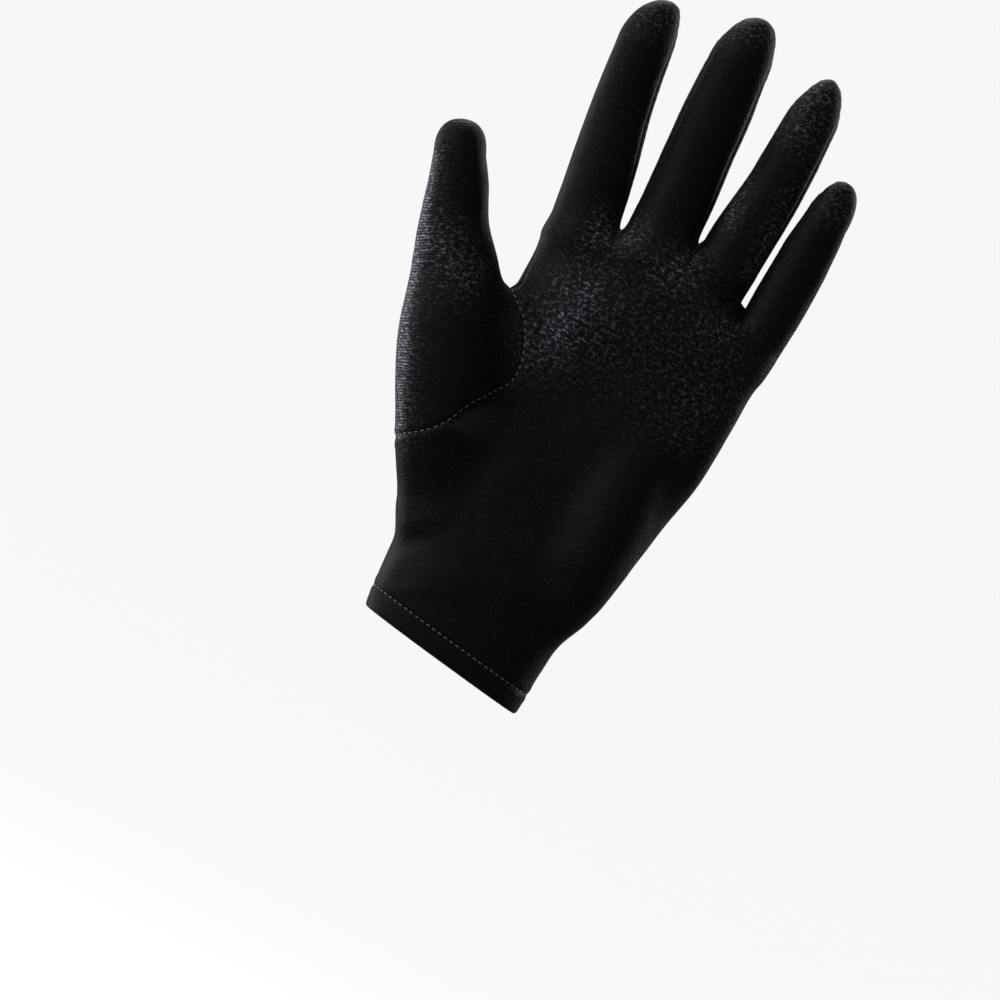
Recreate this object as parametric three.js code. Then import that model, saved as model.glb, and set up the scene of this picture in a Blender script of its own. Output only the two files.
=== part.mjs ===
// A wrist length satin dress glove for the left hand, in the form that it has when it is worn.
// Millimetres. The origin is the middle of the wrist opening, +Z runs up the hand along the middle finger,
// +X points to the little finger and +Y out of the back of the hand.
import * as THREE from 'three';

// Cloth, seams and hem
const CLOTH = 1.2; // wall of the stretch satin
const SEAM_GAP = 0.3; // between two panels along a seam
const HEM_CLOTH = 2.4; // wall of the hem, where the cloth is turned up
const HEM_HEIGHT = 7;
const HEM_TILT = 10; // degrees, the hem drops towards the little finger

// Wrist and palm
const WRIST_WIDTH = 57;
const WRIST_DEPTH = 38;
const PALM_LENGTH = 150; // from the wrist opening to the roots of the long fingers
const PALM_DEPTH = 25; // at the knuckles
const KNUCKLE_OFFSET = 11.3; // the knuckle row lies this far from the wrist's middle, to the little finger
const FINGER_SLIT = 0.5; // between two fingers at their roots
const LEFT_CORNER_DROP = 2; // the palm ends this far below the index finger's root at the thumb's side
const RIGHT_CORNER_DROP = 6; // and this far below the little finger's root at the other side

// Fourchettes, the strips between the fingers
const FOURCHETTE_WIDTH = 8;
const QUIRK_FRONT = 8; // the pointed end on the palm lies this far below the crotch
const QUIRK_BACK = 11; // and this far on the back

// How softly the parts of the hand run into each other
const FINGER_BLEND = 1.6;
const PALM_BLEND = 8;
const THUMB_BLEND = 7;

// Fingers. lean is in degrees to the little finger, root is a share of PALM_LENGTH, tip is the length of the
// rounded end.
const INDEX = { name: 'index', length: 74.4, width: 22, depth: 19.5, lean: -6.7, root: 0.933, tip: 16.4 };
const MIDDLE = { name: 'middle', length: 79.8, width: 22.3, depth: 20, lean: -1.6, root: 0.947, tip: 17.8 };
const RING = { name: 'ring', length: 74.5, width: 20, depth: 18.5, lean: 4.2, root: 0.933, tip: 16.2 };
const LITTLE = { name: 'little', length: 57.6, width: 17, depth: 16, lean: 4.4, root: 0.867, tip: 13.3 };
const FINGERS = [INDEX, MIDDLE, RING, LITTLE];

// Form of the rounded ends. A blunt of 2 is an ellipse in outline and more is squarer. slant draws the top
// towards the little finger, as a share of the width.
const ENDS = {
  index: { blunt: 2.2, slant: 0.125 },
  middle: { blunt: 2.1, slant: 0.055 },
  ring: { blunt: 1.8, slant: -0.035 },
  little: { blunt: 2.2, slant: 0 },
  thumb: { blunt: 2.4, slant: 0 },
};

// Sections of each finger up to its rounded end. along is a share of the length below that end, shift and
// width are shares of the finger's width, forward (to the palm) and depth are shares of its depth.
const FINGER_SECTIONS = {
  index: [
    { along: 0, shift: -0.01, width: 0.975, forward: 0, depth: 1 },
    { along: 0.3, shift: -0.023, width: 0.955, forward: 0.02, depth: 0.95 },
    { along: 0.6, shift: -0.043, width: 0.886, forward: 0.09, depth: 0.88 },
    { along: 0.8, shift: -0.044, width: 0.841, forward: 0.17, depth: 0.83 },
    { along: 1, shift: -0.035, width: 0.8, forward: 0.28, depth: 0.76 },
  ],
  middle: [
    { along: 0, shift: 0.01, width: 1, forward: 0, depth: 1 },
    { along: 0.3, shift: 0.026, width: 0.975, forward: 0.02, depth: 0.95 },
    { along: 0.6, shift: 0.014, width: 0.962, forward: 0.09, depth: 0.88 },
    { along: 0.8, shift: 0.017, width: 0.942, forward: 0.17, depth: 0.82 },
    { along: 1, shift: 0.017, width: 0.863, forward: 0.28, depth: 0.75 },
  ],
  ring: [
    { along: 0, shift: 0, width: 1, forward: 0, depth: 1 },
    { along: 0.3, shift: 0.011, width: 0.99, forward: 0.03, depth: 0.95 },
    { along: 0.6, shift: 0.055, width: 0.92, forward: 0.11, depth: 0.88 },
    { along: 0.8, shift: 0.046, width: 0.872, forward: 0.2, depth: 0.83 },
    { along: 1, shift: 0.025, width: 0.8, forward: 0.32, depth: 0.75 },
  ],
  little: [
    { along: 0, shift: 0.022, width: 0.97, forward: 0, depth: 1 },
    { along: 0.3, shift: 0.03, width: 1.009, forward: 0.03, depth: 0.95 },
    { along: 0.6, shift: 0.03, width: 0.997, forward: 0.1, depth: 0.88 },
    { along: 0.8, shift: 0.011, width: 0.941, forward: 0.18, depth: 0.83 },
    { along: 1, shift: 0.007, width: 0.82, forward: 0.28, depth: 0.76 },
  ],
};

// Thumb, with the ball of the thumb below it. Its foot is a share of the palm's length and of the wrist.
const THUMB = { name: 'thumb', length: 117.3, width: 22, depth: 19, lean: -21, tip: 10.8 };
const THUMB_FOOT = { side: -0.455, root: 0.287 };
const THUMB_SECTIONS = [
  { along: 0, shift: 0.07, width: 0.95, forward: 0.1, depth: 1.05 },
  { along: 0.17, shift: 0.11, width: 1.26, forward: 0.24, depth: 1.36 },
  { along: 0.33, shift: 0.14, width: 1.44, forward: 0.34, depth: 1.54 },
  { along: 0.48, shift: 0.11, width: 1.42, forward: 0.4, depth: 1.48 },
  { along: 0.57, shift: 0.115, width: 1.325, forward: 0.43, depth: 1.32 },
  { along: 0.65, shift: 0.135, width: 1.27, forward: 0.45, depth: 1.18 },
  { along: 0.7, shift: 0.115, width: 1.205, forward: 0.47, depth: 1.1 },
  { along: 0.81, shift: 0.055, width: 0.98, forward: 0.53, depth: 0.98 },
  { along: 0.92, shift: 0.065, width: 0.86, forward: 0.6, depth: 0.93 },
  { along: 1, shift: 0.05, width: 0.745, forward: 0.66, depth: 0.84 },
];

// Sections of the palm. along is a share of PALM_LENGTH. left, right, front and back run from 0 at the
// wrist's own edge to 1 at the knuckle row's edge.
const PALM_SECTIONS = [
  { along: -0.06, left: 0, right: -0.02, front: -0.02, back: -0.02 },
  { along: 0, left: 0, right: 0, front: 0, back: 0 },
  { along: 0.12, left: 0.6, right: 0.08, front: 0.16, back: 0.1 },
  { along: 0.25, left: 1, right: 0.24, front: 0.5, back: 0.24 },
  { along: 0.4, left: 1.4, right: 0.55, front: 0.78, back: 0.42 },
  { along: 0.55, left: 1.4, right: 0.8, front: 0.88, back: 0.58 },
  { along: 0.7, left: 0.9, right: 0.88, front: 0.88, back: 0.74 },
  { along: 0.84, left: 0.4, right: 0.93, front: 0.86, back: 0.86 },
  { along: 0.95, left: -2, right: 0.93, front: 1, back: 1 },
];
const PALM_SQUARENESS = 2.4; // 2 is an ellipse
const PALM_TOP = 5; // the rounded top of the palm between the finger roots

// Where the palm's rounded top starts, as a share of PALM_LENGTH. along runs across the knuckle row from the
// thumb's side.
const ROOT_LINE = [
  { along: 0, top: 0.87 },
  { along: 0.27, top: 0.902 },
  { along: 0.54, top: 0.94 },
  { along: 0.79, top: 0.857 },
  { along: 1, top: 0.79 },
];

// Pads and knuckles that lie on the palm. x is a share of the knuckle row's width from its thumb side, z of
// PALM_LENGTH, y of PALM_DEPTH, and the three reaches are shares of the same sizes.
const PADS = [
  { name: 'heel', x: 0.7, y: -0.24, z: 0.38, wide: 0.14, deep: 0.5, high: 0.22 },
  { name: 'web of the thumb', x: 0, y: -0.2, z: 0.675, wide: 0.11, deep: 0.26, high: 0.062 },
  { name: 'finger pads', x: 0.5, y: -0.1, z: 0.8, wide: 0.38, deep: 0.46, high: 0.075 },
];

// Dents and folds of the cloth, along a line from one point to another. x and z as for the pads, width is a
// share of the knuckle row's width and height of PALM_DEPTH, and a height below 0 is a dent.
const FOLDS = [
  { side: 'front', x0: 0.3, z0: 0.5, x1: 0.42, z1: 0.7, width: 0.132, height: -0.064 },
  { side: 'front', x0: 0.22, z0: 0.76, x1: 0.4, z1: 0.62, width: 0.06, height: 0.032 },
  { side: 'front', x0: 0.1, z0: 0.14, x1: 0.66, z1: 0.24, width: 0.06, height: 0.028 },
  { side: 'front', x0: 0.2, z0: 0.22, x1: 0.8, z1: 0.33, width: 0.06, height: 0.024 },
  { side: 'back', x0: 0.1, z0: 0.16, x1: 0.75, z1: 0.24, width: 0.06, height: 0.028 },
  { side: 'back', x0: 0.27, z0: 0.7, x1: 0.28, z1: 0.9, width: 0.072, height: -0.036 },
  { side: 'back', x0: 0.53, z0: 0.68, x1: 0.54, z1: 0.92, width: 0.072, height: -0.036 },
  { side: 'back', x0: 0.77, z0: 0.64, x1: 0.78, z1: 0.86, width: 0.072, height: -0.036 },
];

// The seam of the thumb, from the side of the hand below to the web above. x, y and z as for the pads.
const THUMB_SEAM_FRONT = [
  { x: -0.15, y: -0.12, z: 0.371 },
  { x: 0.045, y: -0.9, z: 0.477 },
  { x: 0.161, y: -0.7, z: 0.578 },
  { x: 0.104, y: -0.6, z: 0.7 },
  { x: -0.01, y: -0.2, z: 0.745 },
];
const THUMB_SEAM_BACK = [
  { x: -0.15, y: -0.12, z: 0.371 },
  { x: -0.07, y: 0.3, z: 0.45 },
  { x: 0.01, y: 0.5, z: 0.56 },
  { x: 0.03, y: 0.35, z: 0.67 },
  { x: -0.01, y: -0.2, z: 0.745 },
];

// How finely the cloth is divided
const DIVISIONS = {
  finger: 5, // columns of a panel across one finger
  wrist: 5, // rows from the hem to the foot of the thumb seam
  thumb: 9, // rows along the thumb seam
  knuckles: 3, // rows from the web of the thumb to the crotches
  length: 8, // rows up a finger to its rounded end
  dome: 5, // rows over the rounded end
  strip: 4, // columns across a fourchette
  sock: 10, // rows up the thumb
};
const STRIP_STOP = 3; // the dome row at which a fourchette runs out
const STRIP_TAPER = 4.5; // rows over which it narrows before that
const SOCK_SETTLE = 1.6; // the thumb's rings are even again this much sooner than its tip

const SATIN = { color: 0x0e0e11, roughness: 0.42, metalness: 0 };
const HEM_SATIN = { color: 0x0b0b0d, roughness: 0.5, metalness: 0 };

const HALF_TURN = Math.PI;
const DEGREE = HALF_TURN / 180;
const vec = (x, y, z) => new THREE.Vector3(x, y, z);
const mix = THREE.MathUtils.lerp;

// How closely the outer face is found
const TINY = 1e-6; // a share this small is the very middle of a section
const PROBE = 0.05; // between the points that give the slope of the distance
const PRESSES = 6; // steps onto the outer face
const LONGEST_PRESS = 3; // and the most that one step moves
const FLATTEST_SLOPE = 0.2; // squared, so that no step runs away where the distance is flat
const STRIDE = 1.5; // of the walk outwards, which ends in halvings
const HALVINGS = 24;
const CROTCH_STEP = 0.25; // of the walk down to a crotch
const SHARPEST_MITRE = 0.06; // keeps the mitre of a pointed corner short

// Value of one column of a table at a share along it, on a smooth curve through the rows.
function sample(rows, column, along) {
  const place = THREE.MathUtils.clamp(along, rows[0].along, rows[rows.length - 1].along);
  let i = 0;
  while (i < rows.length - 2 && place > rows[i + 1].along) {
    i += 1;
  }
  const slope = (k) => {
    const before = rows[Math.max(k - 1, 0)];
    const after = rows[Math.min(k + 1, rows.length - 1)];
    return (after[column] - before[column]) / (after.along - before.along);
  };
  const span = rows[i + 1].along - rows[i].along;
  const u = (place - rows[i].along) / span;
  const rise = slope(i) * span;
  const fall = slope(i + 1) * span;
  const [a, b] = [rows[i][column], rows[i + 1][column]];
  return a * (2 * u ** 3 - 3 * u ** 2 + 1) + rise * (u ** 3 - 2 * u ** 2 + u)
    + b * (3 * u ** 2 - 2 * u ** 3) + fall * (u ** 3 - u ** 2);
}

// The knuckle row: each finger's root stands beside the last, with a slit between.
const ROW_WIDTH = FINGERS.reduce((sum, finger) => sum + finger.width, FINGER_SLIT * (FINGERS.length - 1));
const ROW_LEFT = KNUCKLE_OFFSET - ROW_WIDTH / 2;
const ROW_RIGHT = ROW_LEFT + ROW_WIDTH;

// A point given by shares, as in the tables of pads, folds and seams.
const onHand = (x, y, z) => vec(ROW_LEFT + x * ROW_WIDTH, y * PALM_DEPTH, z * PALM_LENGTH);

// A finger or the thumb: a tube of elliptical sections along a leaning axis, with a rounded end.
class Limb {
  constructor(size, foot, sections) {
    Object.assign(this, size, ENDS[size.name], { foot, sections });
    this.body = this.length - this.tip;
    this.axis = vec(Math.sin(this.lean * DEGREE), 0, Math.cos(this.lean * DEGREE));
    this.side = vec(this.axis.z, 0, -this.axis.x);
  }

  // Middle and half sizes of the section at a distance along the axis.
  section(t) {
    const share = t / this.body;
    const past = THREE.MathUtils.clamp((t - this.body) / this.tip, 0, 1);
    return {
      across: (sample(this.sections, 'shift', share) + this.slant * past ** 2) * this.width,
      forward: sample(this.sections, 'forward', share) * this.depth,
      halfWidth: sample(this.sections, 'width', share) * this.width / 2,
      halfDepth: sample(this.sections, 'depth', share) * this.depth / 2,
    };
  }

  // Point at a distance along the axis, at an angle round it from the little finger's side over the back,
  // and at a share of the way out to the skin.
  point(t, angle, out = 1) {
    const s = this.section(t);
    return this.foot.clone().addScaledVector(this.axis, t)
      .addScaledVector(this.side, s.across + s.halfWidth * out * Math.cos(angle))
      .setY(this.foot.y - s.forward + s.halfDepth * out * Math.sin(angle));
  }

  // Distance from the skin of the limb, below 0 inside it, true close to the skin.
  distance(p) {
    const q = p.clone().sub(this.foot);
    const t = q.dot(this.axis);
    const s = this.section(t);
    const u = (q.dot(this.side) - s.across) / s.halfWidth;
    const v = (q.y + s.forward) / s.halfDepth;
    const cap = t > this.body ? this.tip : this.width / 2;
    const w = Math.max(t - this.body, -t, 0) / cap;
    const n = this.blunt;
    const round = Math.max(Math.hypot(u, v), TINY);
    const near = (round ** n + w ** n) ** (1 / n);
    const bend = round ** (n - 2);
    const steep = Math.hypot(bend * u / s.halfWidth, bend * v / s.halfDepth, w ** (n - 1) / cap);
    return (near - 1) / Math.max(steep * near ** (1 - n), TINY);
  }
}

const fingers = FINGERS.map((size, i) => {
  const before = FINGERS.slice(0, i).reduce((sum, finger) => sum + finger.width + FINGER_SLIT, 0);
  const foot = vec(ROW_LEFT + before + size.width / 2, 0, size.root * PALM_LENGTH);
  return new Limb(size, foot, FINGER_SECTIONS[size.name]);
});
const thumbFoot = vec(THUMB_FOOT.side * WRIST_WIDTH, 0, THUMB_FOOT.root * PALM_LENGTH);
const thumb = new Limb(THUMB, thumbFoot, THUMB_SECTIONS);

// Half sizes and middle of the palm's section at a height.
function palmSection(z) {
  const share = z / PALM_LENGTH;
  const edge = (column, wrist, knuckle) => mix(wrist, knuckle, sample(PALM_SECTIONS, column, share));
  const left = edge('left', -WRIST_WIDTH / 2, ROW_LEFT);
  const right = edge('right', WRIST_WIDTH / 2, ROW_RIGHT);
  return {
    middle: (left + right) / 2,
    halfWidth: (right - left) / 2,
    front: edge('front', WRIST_DEPTH / 2, PALM_DEPTH / 2),
    back: edge('back', WRIST_DEPTH / 2, PALM_DEPTH / 2),
  };
}

// Distance from the palm's own skin: a rounded box in section, closed by a round top.
function palmDistance(p) {
  const s = palmSection(p.z);
  const halfDepth = p.y < 0 ? s.front : s.back;
  const top = PALM_LENGTH * sample(ROOT_LINE, 'top', (p.x - ROW_LEFT) / ROW_WIDTH);
  const n = PALM_SQUARENESS;
  const u = Math.abs(p.x - s.middle) / s.halfWidth;
  const v = Math.abs(p.y) / halfDepth;
  const w = Math.max(p.z - top, 0) / PALM_TOP;
  const near = (u ** n + v ** n + w ** n) ** (1 / n);
  if (near < TINY) {
    return -halfDepth;
  }
  const steep = Math.hypot(u ** (n - 1) / s.halfWidth, v ** (n - 1) / halfDepth, w ** (n - 1) / PALM_TOP)
    * near ** (1 - n);
  return (near - 1) / steep;
}

function padDistance(pad, p) {
  const q = p.clone().sub(onHand(pad.x, pad.y, pad.z));
  const reach = vec(pad.wide * ROW_WIDTH, pad.deep * PALM_DEPTH, pad.high * PALM_LENGTH);
  const near = Math.hypot(q.x / reach.x, q.y / reach.y, q.z / reach.z);
  const steep = Math.hypot(q.x / reach.x ** 2, q.y / reach.y ** 2, q.z / reach.z ** 2);
  return near < TINY ? -reach.y : near * (near - 1) / steep;
}

const smoothMin = (a, b, blend) => Math.min(a, b) - Math.max(blend - Math.abs(a - b), 0) ** 2 / (4 * blend);

// How far a fold lifts the cloth at a point: a bell across its line that fades towards both ends.
function foldLift(fold, p) {
  const sideways = fold.side === 'front' ? -p.y : p.y;
  if (sideways < 0) {
    return 0;
  }
  const from = onHand(fold.x0, 0, fold.z0);
  const line = onHand(fold.x1, 0, fold.z1).sub(from);
  const run = line.length();
  const q = vec(p.x, 0, p.z).sub(from);
  const along = q.dot(line) / run ** 2;
  const across = Math.abs(q.x * line.z - q.z * line.x) / run / (fold.width * ROW_WIDTH);
  const fade = Math.exp(-((2 * along - 1) ** 4));
  const facing = Math.min(sideways / (PALM_DEPTH / 4), 1);
  return fold.height * PALM_DEPTH * fade * facing * Math.exp(-(across ** 2));
}

// Distance of a point from the cloth's outer face, below 0 inside the hand's form.
function distance(p) {
  const hand = fingers.reduce((d, finger) => smoothMin(d, finger.distance(p), FINGER_BLEND), Infinity);
  let d = smoothMin(hand, palmDistance(p), PALM_BLEND);
  d = PADS.reduce((sum, pad) => smoothMin(sum, padDistance(pad, p), PALM_BLEND), d);
  d = smoothMin(d, thumb.distance(p), THUMB_BLEND);
  return FOLDS.reduce((sum, fold) => sum - foldLift(fold, p), d);
}

function gradient(p) {
  const step = (axis) => {
    const offset = vec(0, 0, 0).setComponent(axis, PROBE);
    return (distance(p.clone().add(offset)) - distance(p.clone().sub(offset))) / (2 * PROBE);
  };
  return vec(step(0), step(1), step(2));
}

// Moves a point onto the cloth's outer face along the steepest way.
function press(point) {
  const p = point.clone();
  for (let i = 0; i < PRESSES; i += 1) {
    const g = gradient(p);
    const step = THREE.MathUtils.clamp(distance(p), -LONGEST_PRESS, LONGEST_PRESS);
    p.addScaledVector(g, -step / Math.max(g.lengthSq(), FLATTEST_SLOPE));
  }
  return p;
}

// Walks from inside the hand in a direction to the cloth's outer face.
function castOut(origin, direction) {
  let far = STRIDE;
  while (distance(origin.clone().addScaledVector(direction, far)) < 0) {
    far += STRIDE;
  }
  let near = far - STRIDE;
  for (let i = 0; i < HALVINGS; i += 1) {
    const half = (near + far) / 2;
    if (distance(origin.clone().addScaledVector(direction, half)) < 0) {
      near = half;
    } else {
      far = half;
    }
  }
  return origin.clone().addScaledVector(direction, near);
}

// Turns an open sheet of points and triangles into a cloth wall. Its edge is drawn in by half a seam gap,
// with mitred corners, and its inner face lies one wall below the outer one.
function clothWall(points, faces, wall) {
  const key = (a, b) => `${a},${b}`;
  const edges = new Map();
  faces.forEach(([a, b, c]) => [[a, b], [b, c], [c, a]].forEach(([s, e]) => edges.set(key(s, e), [s, e])));
  const border = [...edges.values()].filter(([s, e]) => !edges.has(key(e, s)));
  const normals = points.map((p) => gradient(p).normalize());
  const inward = points.map(() => []);
  border.forEach(([s, e]) => {
    const run = points[e].clone().sub(points[s]);
    [s, e].forEach((i) => inward[i].push(normals[i].clone().cross(run).normalize()));
  });
  const outer = points.map((p, i) => {
    if (inward[i].length === 0) {
      return p;
    }
    const [a, b] = inward[i];
    const mitre = a.clone().add(b).divideScalar(Math.max(1 + a.dot(b), SHARPEST_MITRE));
    return p.clone().addScaledVector(mitre, SEAM_GAP / 2);
  });
  const inner = outer.map((p, i) => p.clone().addScaledVector(normals[i], -wall));
  const count = points.length;
  const skin = faces.flatMap(([a, b, c]) => [a, b, c, a + count, c + count, b + count]);
  // Two walls that face each other over a seam have the same diagonals, so a twisted seam keeps its gap.
  const rim = border.flatMap(([s, e]) => (points[e].z > points[s].z
    ? [s, s + count, e + count, s, e + count, e]
    : [s, s + count, e, s + count, e + count, e]));
  return meshGeometry([...outer, ...inner], [...skin, ...rim]);
}

function meshGeometry(points, indices) {
  const geometry = new THREE.BufferGeometry();
  geometry.setAttribute('position', new THREE.Float32BufferAttribute(points.flatMap((p) => p.toArray()), 3));
  geometry.setIndex(indices);
  geometry.computeVertexNormals();
  return geometry;
}

// An open sheet that is put together from grids whose shared points are given by name, once.
class Sheet {
  constructor() {
    this.points = [];
    this.faces = [];
    this.known = new Map();
  }

  add(point) {
    if (!this.known.has(point)) {
      this.known.set(point, this.points.push(point) - 1);
    }
    return this.known.get(point);
  }

  // Rows of points, all of one length. Two neighbours that are the same point make no triangle.
  grid(rows, flip) {
    const ids = rows.map((row) => row.map((point) => this.add(point)));
    for (let j = 0; j < ids.length - 1; j += 1) {
      for (let i = 0; i < ids[j].length - 1; i += 1) {
        const [a, b, c, d] = [ids[j][i], ids[j][i + 1], ids[j + 1][i + 1], ids[j + 1][i]];
        [[a, b, c], [a, c, d]].forEach((face) => {
          if (new Set(face).size === 3) {
            this.faces.push(flip ? [face[0], face[2], face[1]] : face);
          }
        });
      }
    }
  }
}

const range = (count, value) => Array.from({ length: count + 1 }, (_, i) => value(i / count, i));

// Points that two pieces share along a seam are made once, so that both use the very same ones.
function remember(make) {
  const made = new Map();
  return (...args) => {
    const key = args.join();
    if (!made.has(key)) {
      made.set(key, make(...args));
    }
    return made.get(key);
  };
}

// The crotch between a finger and the next: the highest point of the cloth midway between the two.
const crotch = remember((gap) => {
  const [near, far] = [fingers[gap], fingers[gap + 1]];
  const middle = (z) => {
    const side = (finger, angle) => finger.point(Math.max(z - finger.foot.z, 0), angle);
    return side(near, 0).add(side(far, Math.PI)).multiplyScalar(0.5).setZ(z);
  };
  let z = Math.min(near.foot.z + near.body, far.foot.z + far.body);
  while (distance(middle(z)) > 0) {
    z -= CROTCH_STEP;
  }
  return middle(z);
});

// The pointed ends of a fourchette, below its crotch on the palm and on the back.
const quirk = remember((gap, face) => {
  const drop = face === 'front' ? QUIRK_FRONT : QUIRK_BACK;
  const out = vec(0, face === 'front' ? -1 : 1, 0);
  return castOut(crotch(gap).clone().setZ(crotch(gap).z - drop), out);
});

// Half the angle that a fourchette takes up on a finger's side, narrowing to nothing at its tip.
function stripAngle(finger, row) {
  const stop = DIVISIONS.length + STRIP_STOP;
  const narrow = Math.min(1, (stop - row) / STRIP_TAPER);
  return Math.max(narrow, 0) * FOURCHETTE_WIDTH / finger.depth;
}

// Rows of a finger: first up to the rounded end, then over it. Gives the distance along and the share out.
function fingerRow(finger, start, row) {
  const lift = (row - DIVISIONS.length) / DIVISIONS.dome * Math.PI / 2;
  if (lift > 0) {
    return { t: finger.body + finger.tip * Math.sin(lift), out: Math.cos(lift) };
  }
  return { t: mix(start, finger.body, row / DIVISIONS.length), out: 1 };
}

const along = (finger, p) => p.clone().sub(finger.foot).dot(finger.axis);

// A point of the outer face on a row of a finger, at an angle round the finger.
function limbPoint(finger, start, row, angle) {
  const place = fingerRow(finger, start, row);
  return press(finger.point(place.t, angle, place.out));
}

const rowMiddle = (left, right) => left.clone().add(right).multiplyScalar(0.5).setY(0);

// Where the palm ends and an outer finger starts, on the seam at the side of the hand.
const sideCorner = remember((side) => {
  const finger = side === 'left' ? fingers[0] : fingers[fingers.length - 1];
  const drop = side === 'left' ? LEFT_CORNER_DROP : RIGHT_CORNER_DROP;
  const origin = vec(finger.foot.x, 0, finger.foot.z - drop);
  return castOut(origin, vec(side === 'left' ? -1 : 1, 0, 0));
});

// Corner k of the top row of the palm, from 0 at the thumb's side to 4 at the little finger's.
function topCorner(k, face) {
  if (k === 0) {
    return sideCorner('left');
  }
  return k === fingers.length ? sideCorner('right') : quirk(k - 1, face);
}

const hemSlope = -Math.tan(HEM_TILT * DEGREE);

// A point of the wrist, at a height above the hem and an angle from the little finger's side.
const wristPoint = remember((height, angle, face) => {
  const toFace = face === 'front' ? -1 : 1;
  const direction = vec(Math.cos(angle), toFace * Math.sin(angle), hemSlope * Math.cos(angle));
  return castOut(vec(0, 0, height), direction);
});

// The two ends of the thumb's seam, at share 0 and 1, which both faces have in common.
const seamEnd = remember((share) => {
  const row = THUMB_SEAM_FRONT[share * (THUMB_SEAM_FRONT.length - 1)];
  return press(onHand(row.x, row.y, row.z));
});

// A point of the thumb's seam, from 0 at the side of the hand to 1 at the web.
const thumbSeam = remember((share, face) => {
  if (share === 0 || share === 1) {
    return seamEnd(share);
  }
  const table = face === 'front' ? THUMB_SEAM_FRONT : THUMB_SEAM_BACK;
  const places = table.map((row) => onHand(row.x, row.y, row.z));
  const curve = new THREE.CatmullRomCurve3(places, false, 'centripetal');
  return press(curve.getPointAt(share));
});

// Rows of the palm from the hem to the finger roots, split where the thumb's seam starts and ends.
const WEB_ROW = DIVISIONS.wrist + DIVISIONS.thumb;
const TOP_ROW = WEB_ROW + DIVISIONS.knuckles;

const leftEdge = remember((row, face) => {
  if (row === 0) {
    return wristPoint(HEM_HEIGHT, HALF_TURN, 'front');
  }
  if (row < DIVISIONS.wrist) {
    const [low, high] = [leftEdge(0, 'front'), thumbSeam(0, 'front')];
    const p = low.clone().lerp(high, row / DIVISIONS.wrist);
    const inside = vec(0, 0, p.z);
    return face === 'back' ? leftEdge(row, 'front') : castOut(inside, p.sub(inside).normalize());
  }
  if (row <= WEB_ROW) {
    return thumbSeam((row - DIVISIONS.wrist) / DIVISIONS.thumb, face);
  }
  if (face === 'back') {
    return leftEdge(row, 'front');
  }
  const [low, high] = [thumbSeam(1, 'front'), sideCorner('left')];
  const p = low.clone().lerp(high, (row - WEB_ROW) / DIVISIONS.knuckles);
  return row === TOP_ROW ? high : castOut(vec(fingers[0].foot.x, p.y, p.z), vec(-1, 0, 0));
});

const rightEdge = remember((row) => {
  const [low, high] = [wristPoint(HEM_HEIGHT, 0, 'front'), sideCorner('right')];
  if (row === 0 || row === TOP_ROW) {
    return row === 0 ? low : high;
  }
  const z = mix(low.z, high.z, row / TOP_ROW);
  return castOut(vec(palmSection(z).middle, 0, z), vec(1, 0, 0));
});

const COLUMNS = DIVISIONS.finger * fingers.length;

// Angle of a direction seen from the middle of a row, from the little finger's side round over a face.
function faceAngle(middle, p, face) {
  const toFace = face === 'front' ? -1 : 1;
  return Math.atan2(toFace * (p.y - middle.y), p.x - middle.x);
}

// Share of the angle from the little finger's side at each column, taken from the top row's corners.
const columnShare = remember((column, face) => {
  const middle = rowMiddle(sideCorner('left'), sideCorner('right'));
  const k = Math.min(Math.floor(column / DIVISIONS.finger), fingers.length - 1);
  const angles = [k, k + 1].map((corner) => {
    const side = corner === 0 ? HALF_TURN : 0;
    const inner = corner > 0 && corner < fingers.length;
    return inner ? faceAngle(middle, topCorner(corner, face), face) : side;
  });
  return mix(angles[0], angles[1], column / DIVISIONS.finger - k) / HALF_TURN;
});

const palmPoint = remember((row, column, face) => {
  if (column === 0 || column === COLUMNS) {
    return column === 0 ? leftEdge(row, face) : rightEdge(row);
  }
  if (row === TOP_ROW && column % DIVISIONS.finger === 0) {
    return topCorner(column / DIVISIONS.finger, face);
  }
  const [left, right] = [leftEdge(row, face), rightEdge(row)];
  const middle = rowMiddle(left, right);
  const [from, to] = [right, left].map((p) => faceAngle(middle, p, face));
  const start = to < 0 ? to + 2 * HALF_TURN : to;
  const angle = mix(from, start, columnShare(column, face));
  if (row === 0) {
    return wristPoint(HEM_HEIGHT, angle, face);
  }
  const slope = (right.z - left.z) / (right.x - left.x);
  const toFace = face === 'front' ? -1 : 1;
  const direction = vec(Math.cos(angle), toFace * Math.sin(angle), slope * Math.cos(angle)).normalize();
  const climb = Math.max(row - WEB_ROW, 0) / DIVISIONS.knuckles;
  const k = Math.min(Math.floor(column / DIVISIONS.finger), fingers.length - 1);
  const between = column / DIVISIONS.finger - k;
  const top = mix(topCorner(k, face).z, topCorner(k + 1, face).z, between);
  const flat = mix(sideCorner('left').z, sideCorner('right').z, column / COLUMNS);
  return castOut(middle.setZ(middle.z + climb * (top - flat)), direction);
});

// A point where a panel's finger ends at a side, shared with the fourchette or the other panel.
const fingerEdge = remember((index, side, row, face) => {
  const finger = fingers[index];
  const gap = side === 'left' ? index - 1 : index;
  const outside = gap < 0 || gap >= fingers.length - 1;
  const corner = outside ? sideCorner(side) : quirk(gap, face);
  if (row === 0) {
    return corner;
  }
  const wide = outside ? 0 : stripAngle(finger, row);
  if (wide === 0 && face === 'back') {
    return fingerEdge(index, side, row, 'front');
  }
  const start = along(finger, outside ? corner : quirk(gap, face));
  const toBack = face === 'front' ? -1 : 1;
  const angle = side === 'left' ? HALF_TURN - toBack * wide : toBack * wide;
  return limbPoint(finger, start, row, angle);
});

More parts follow.
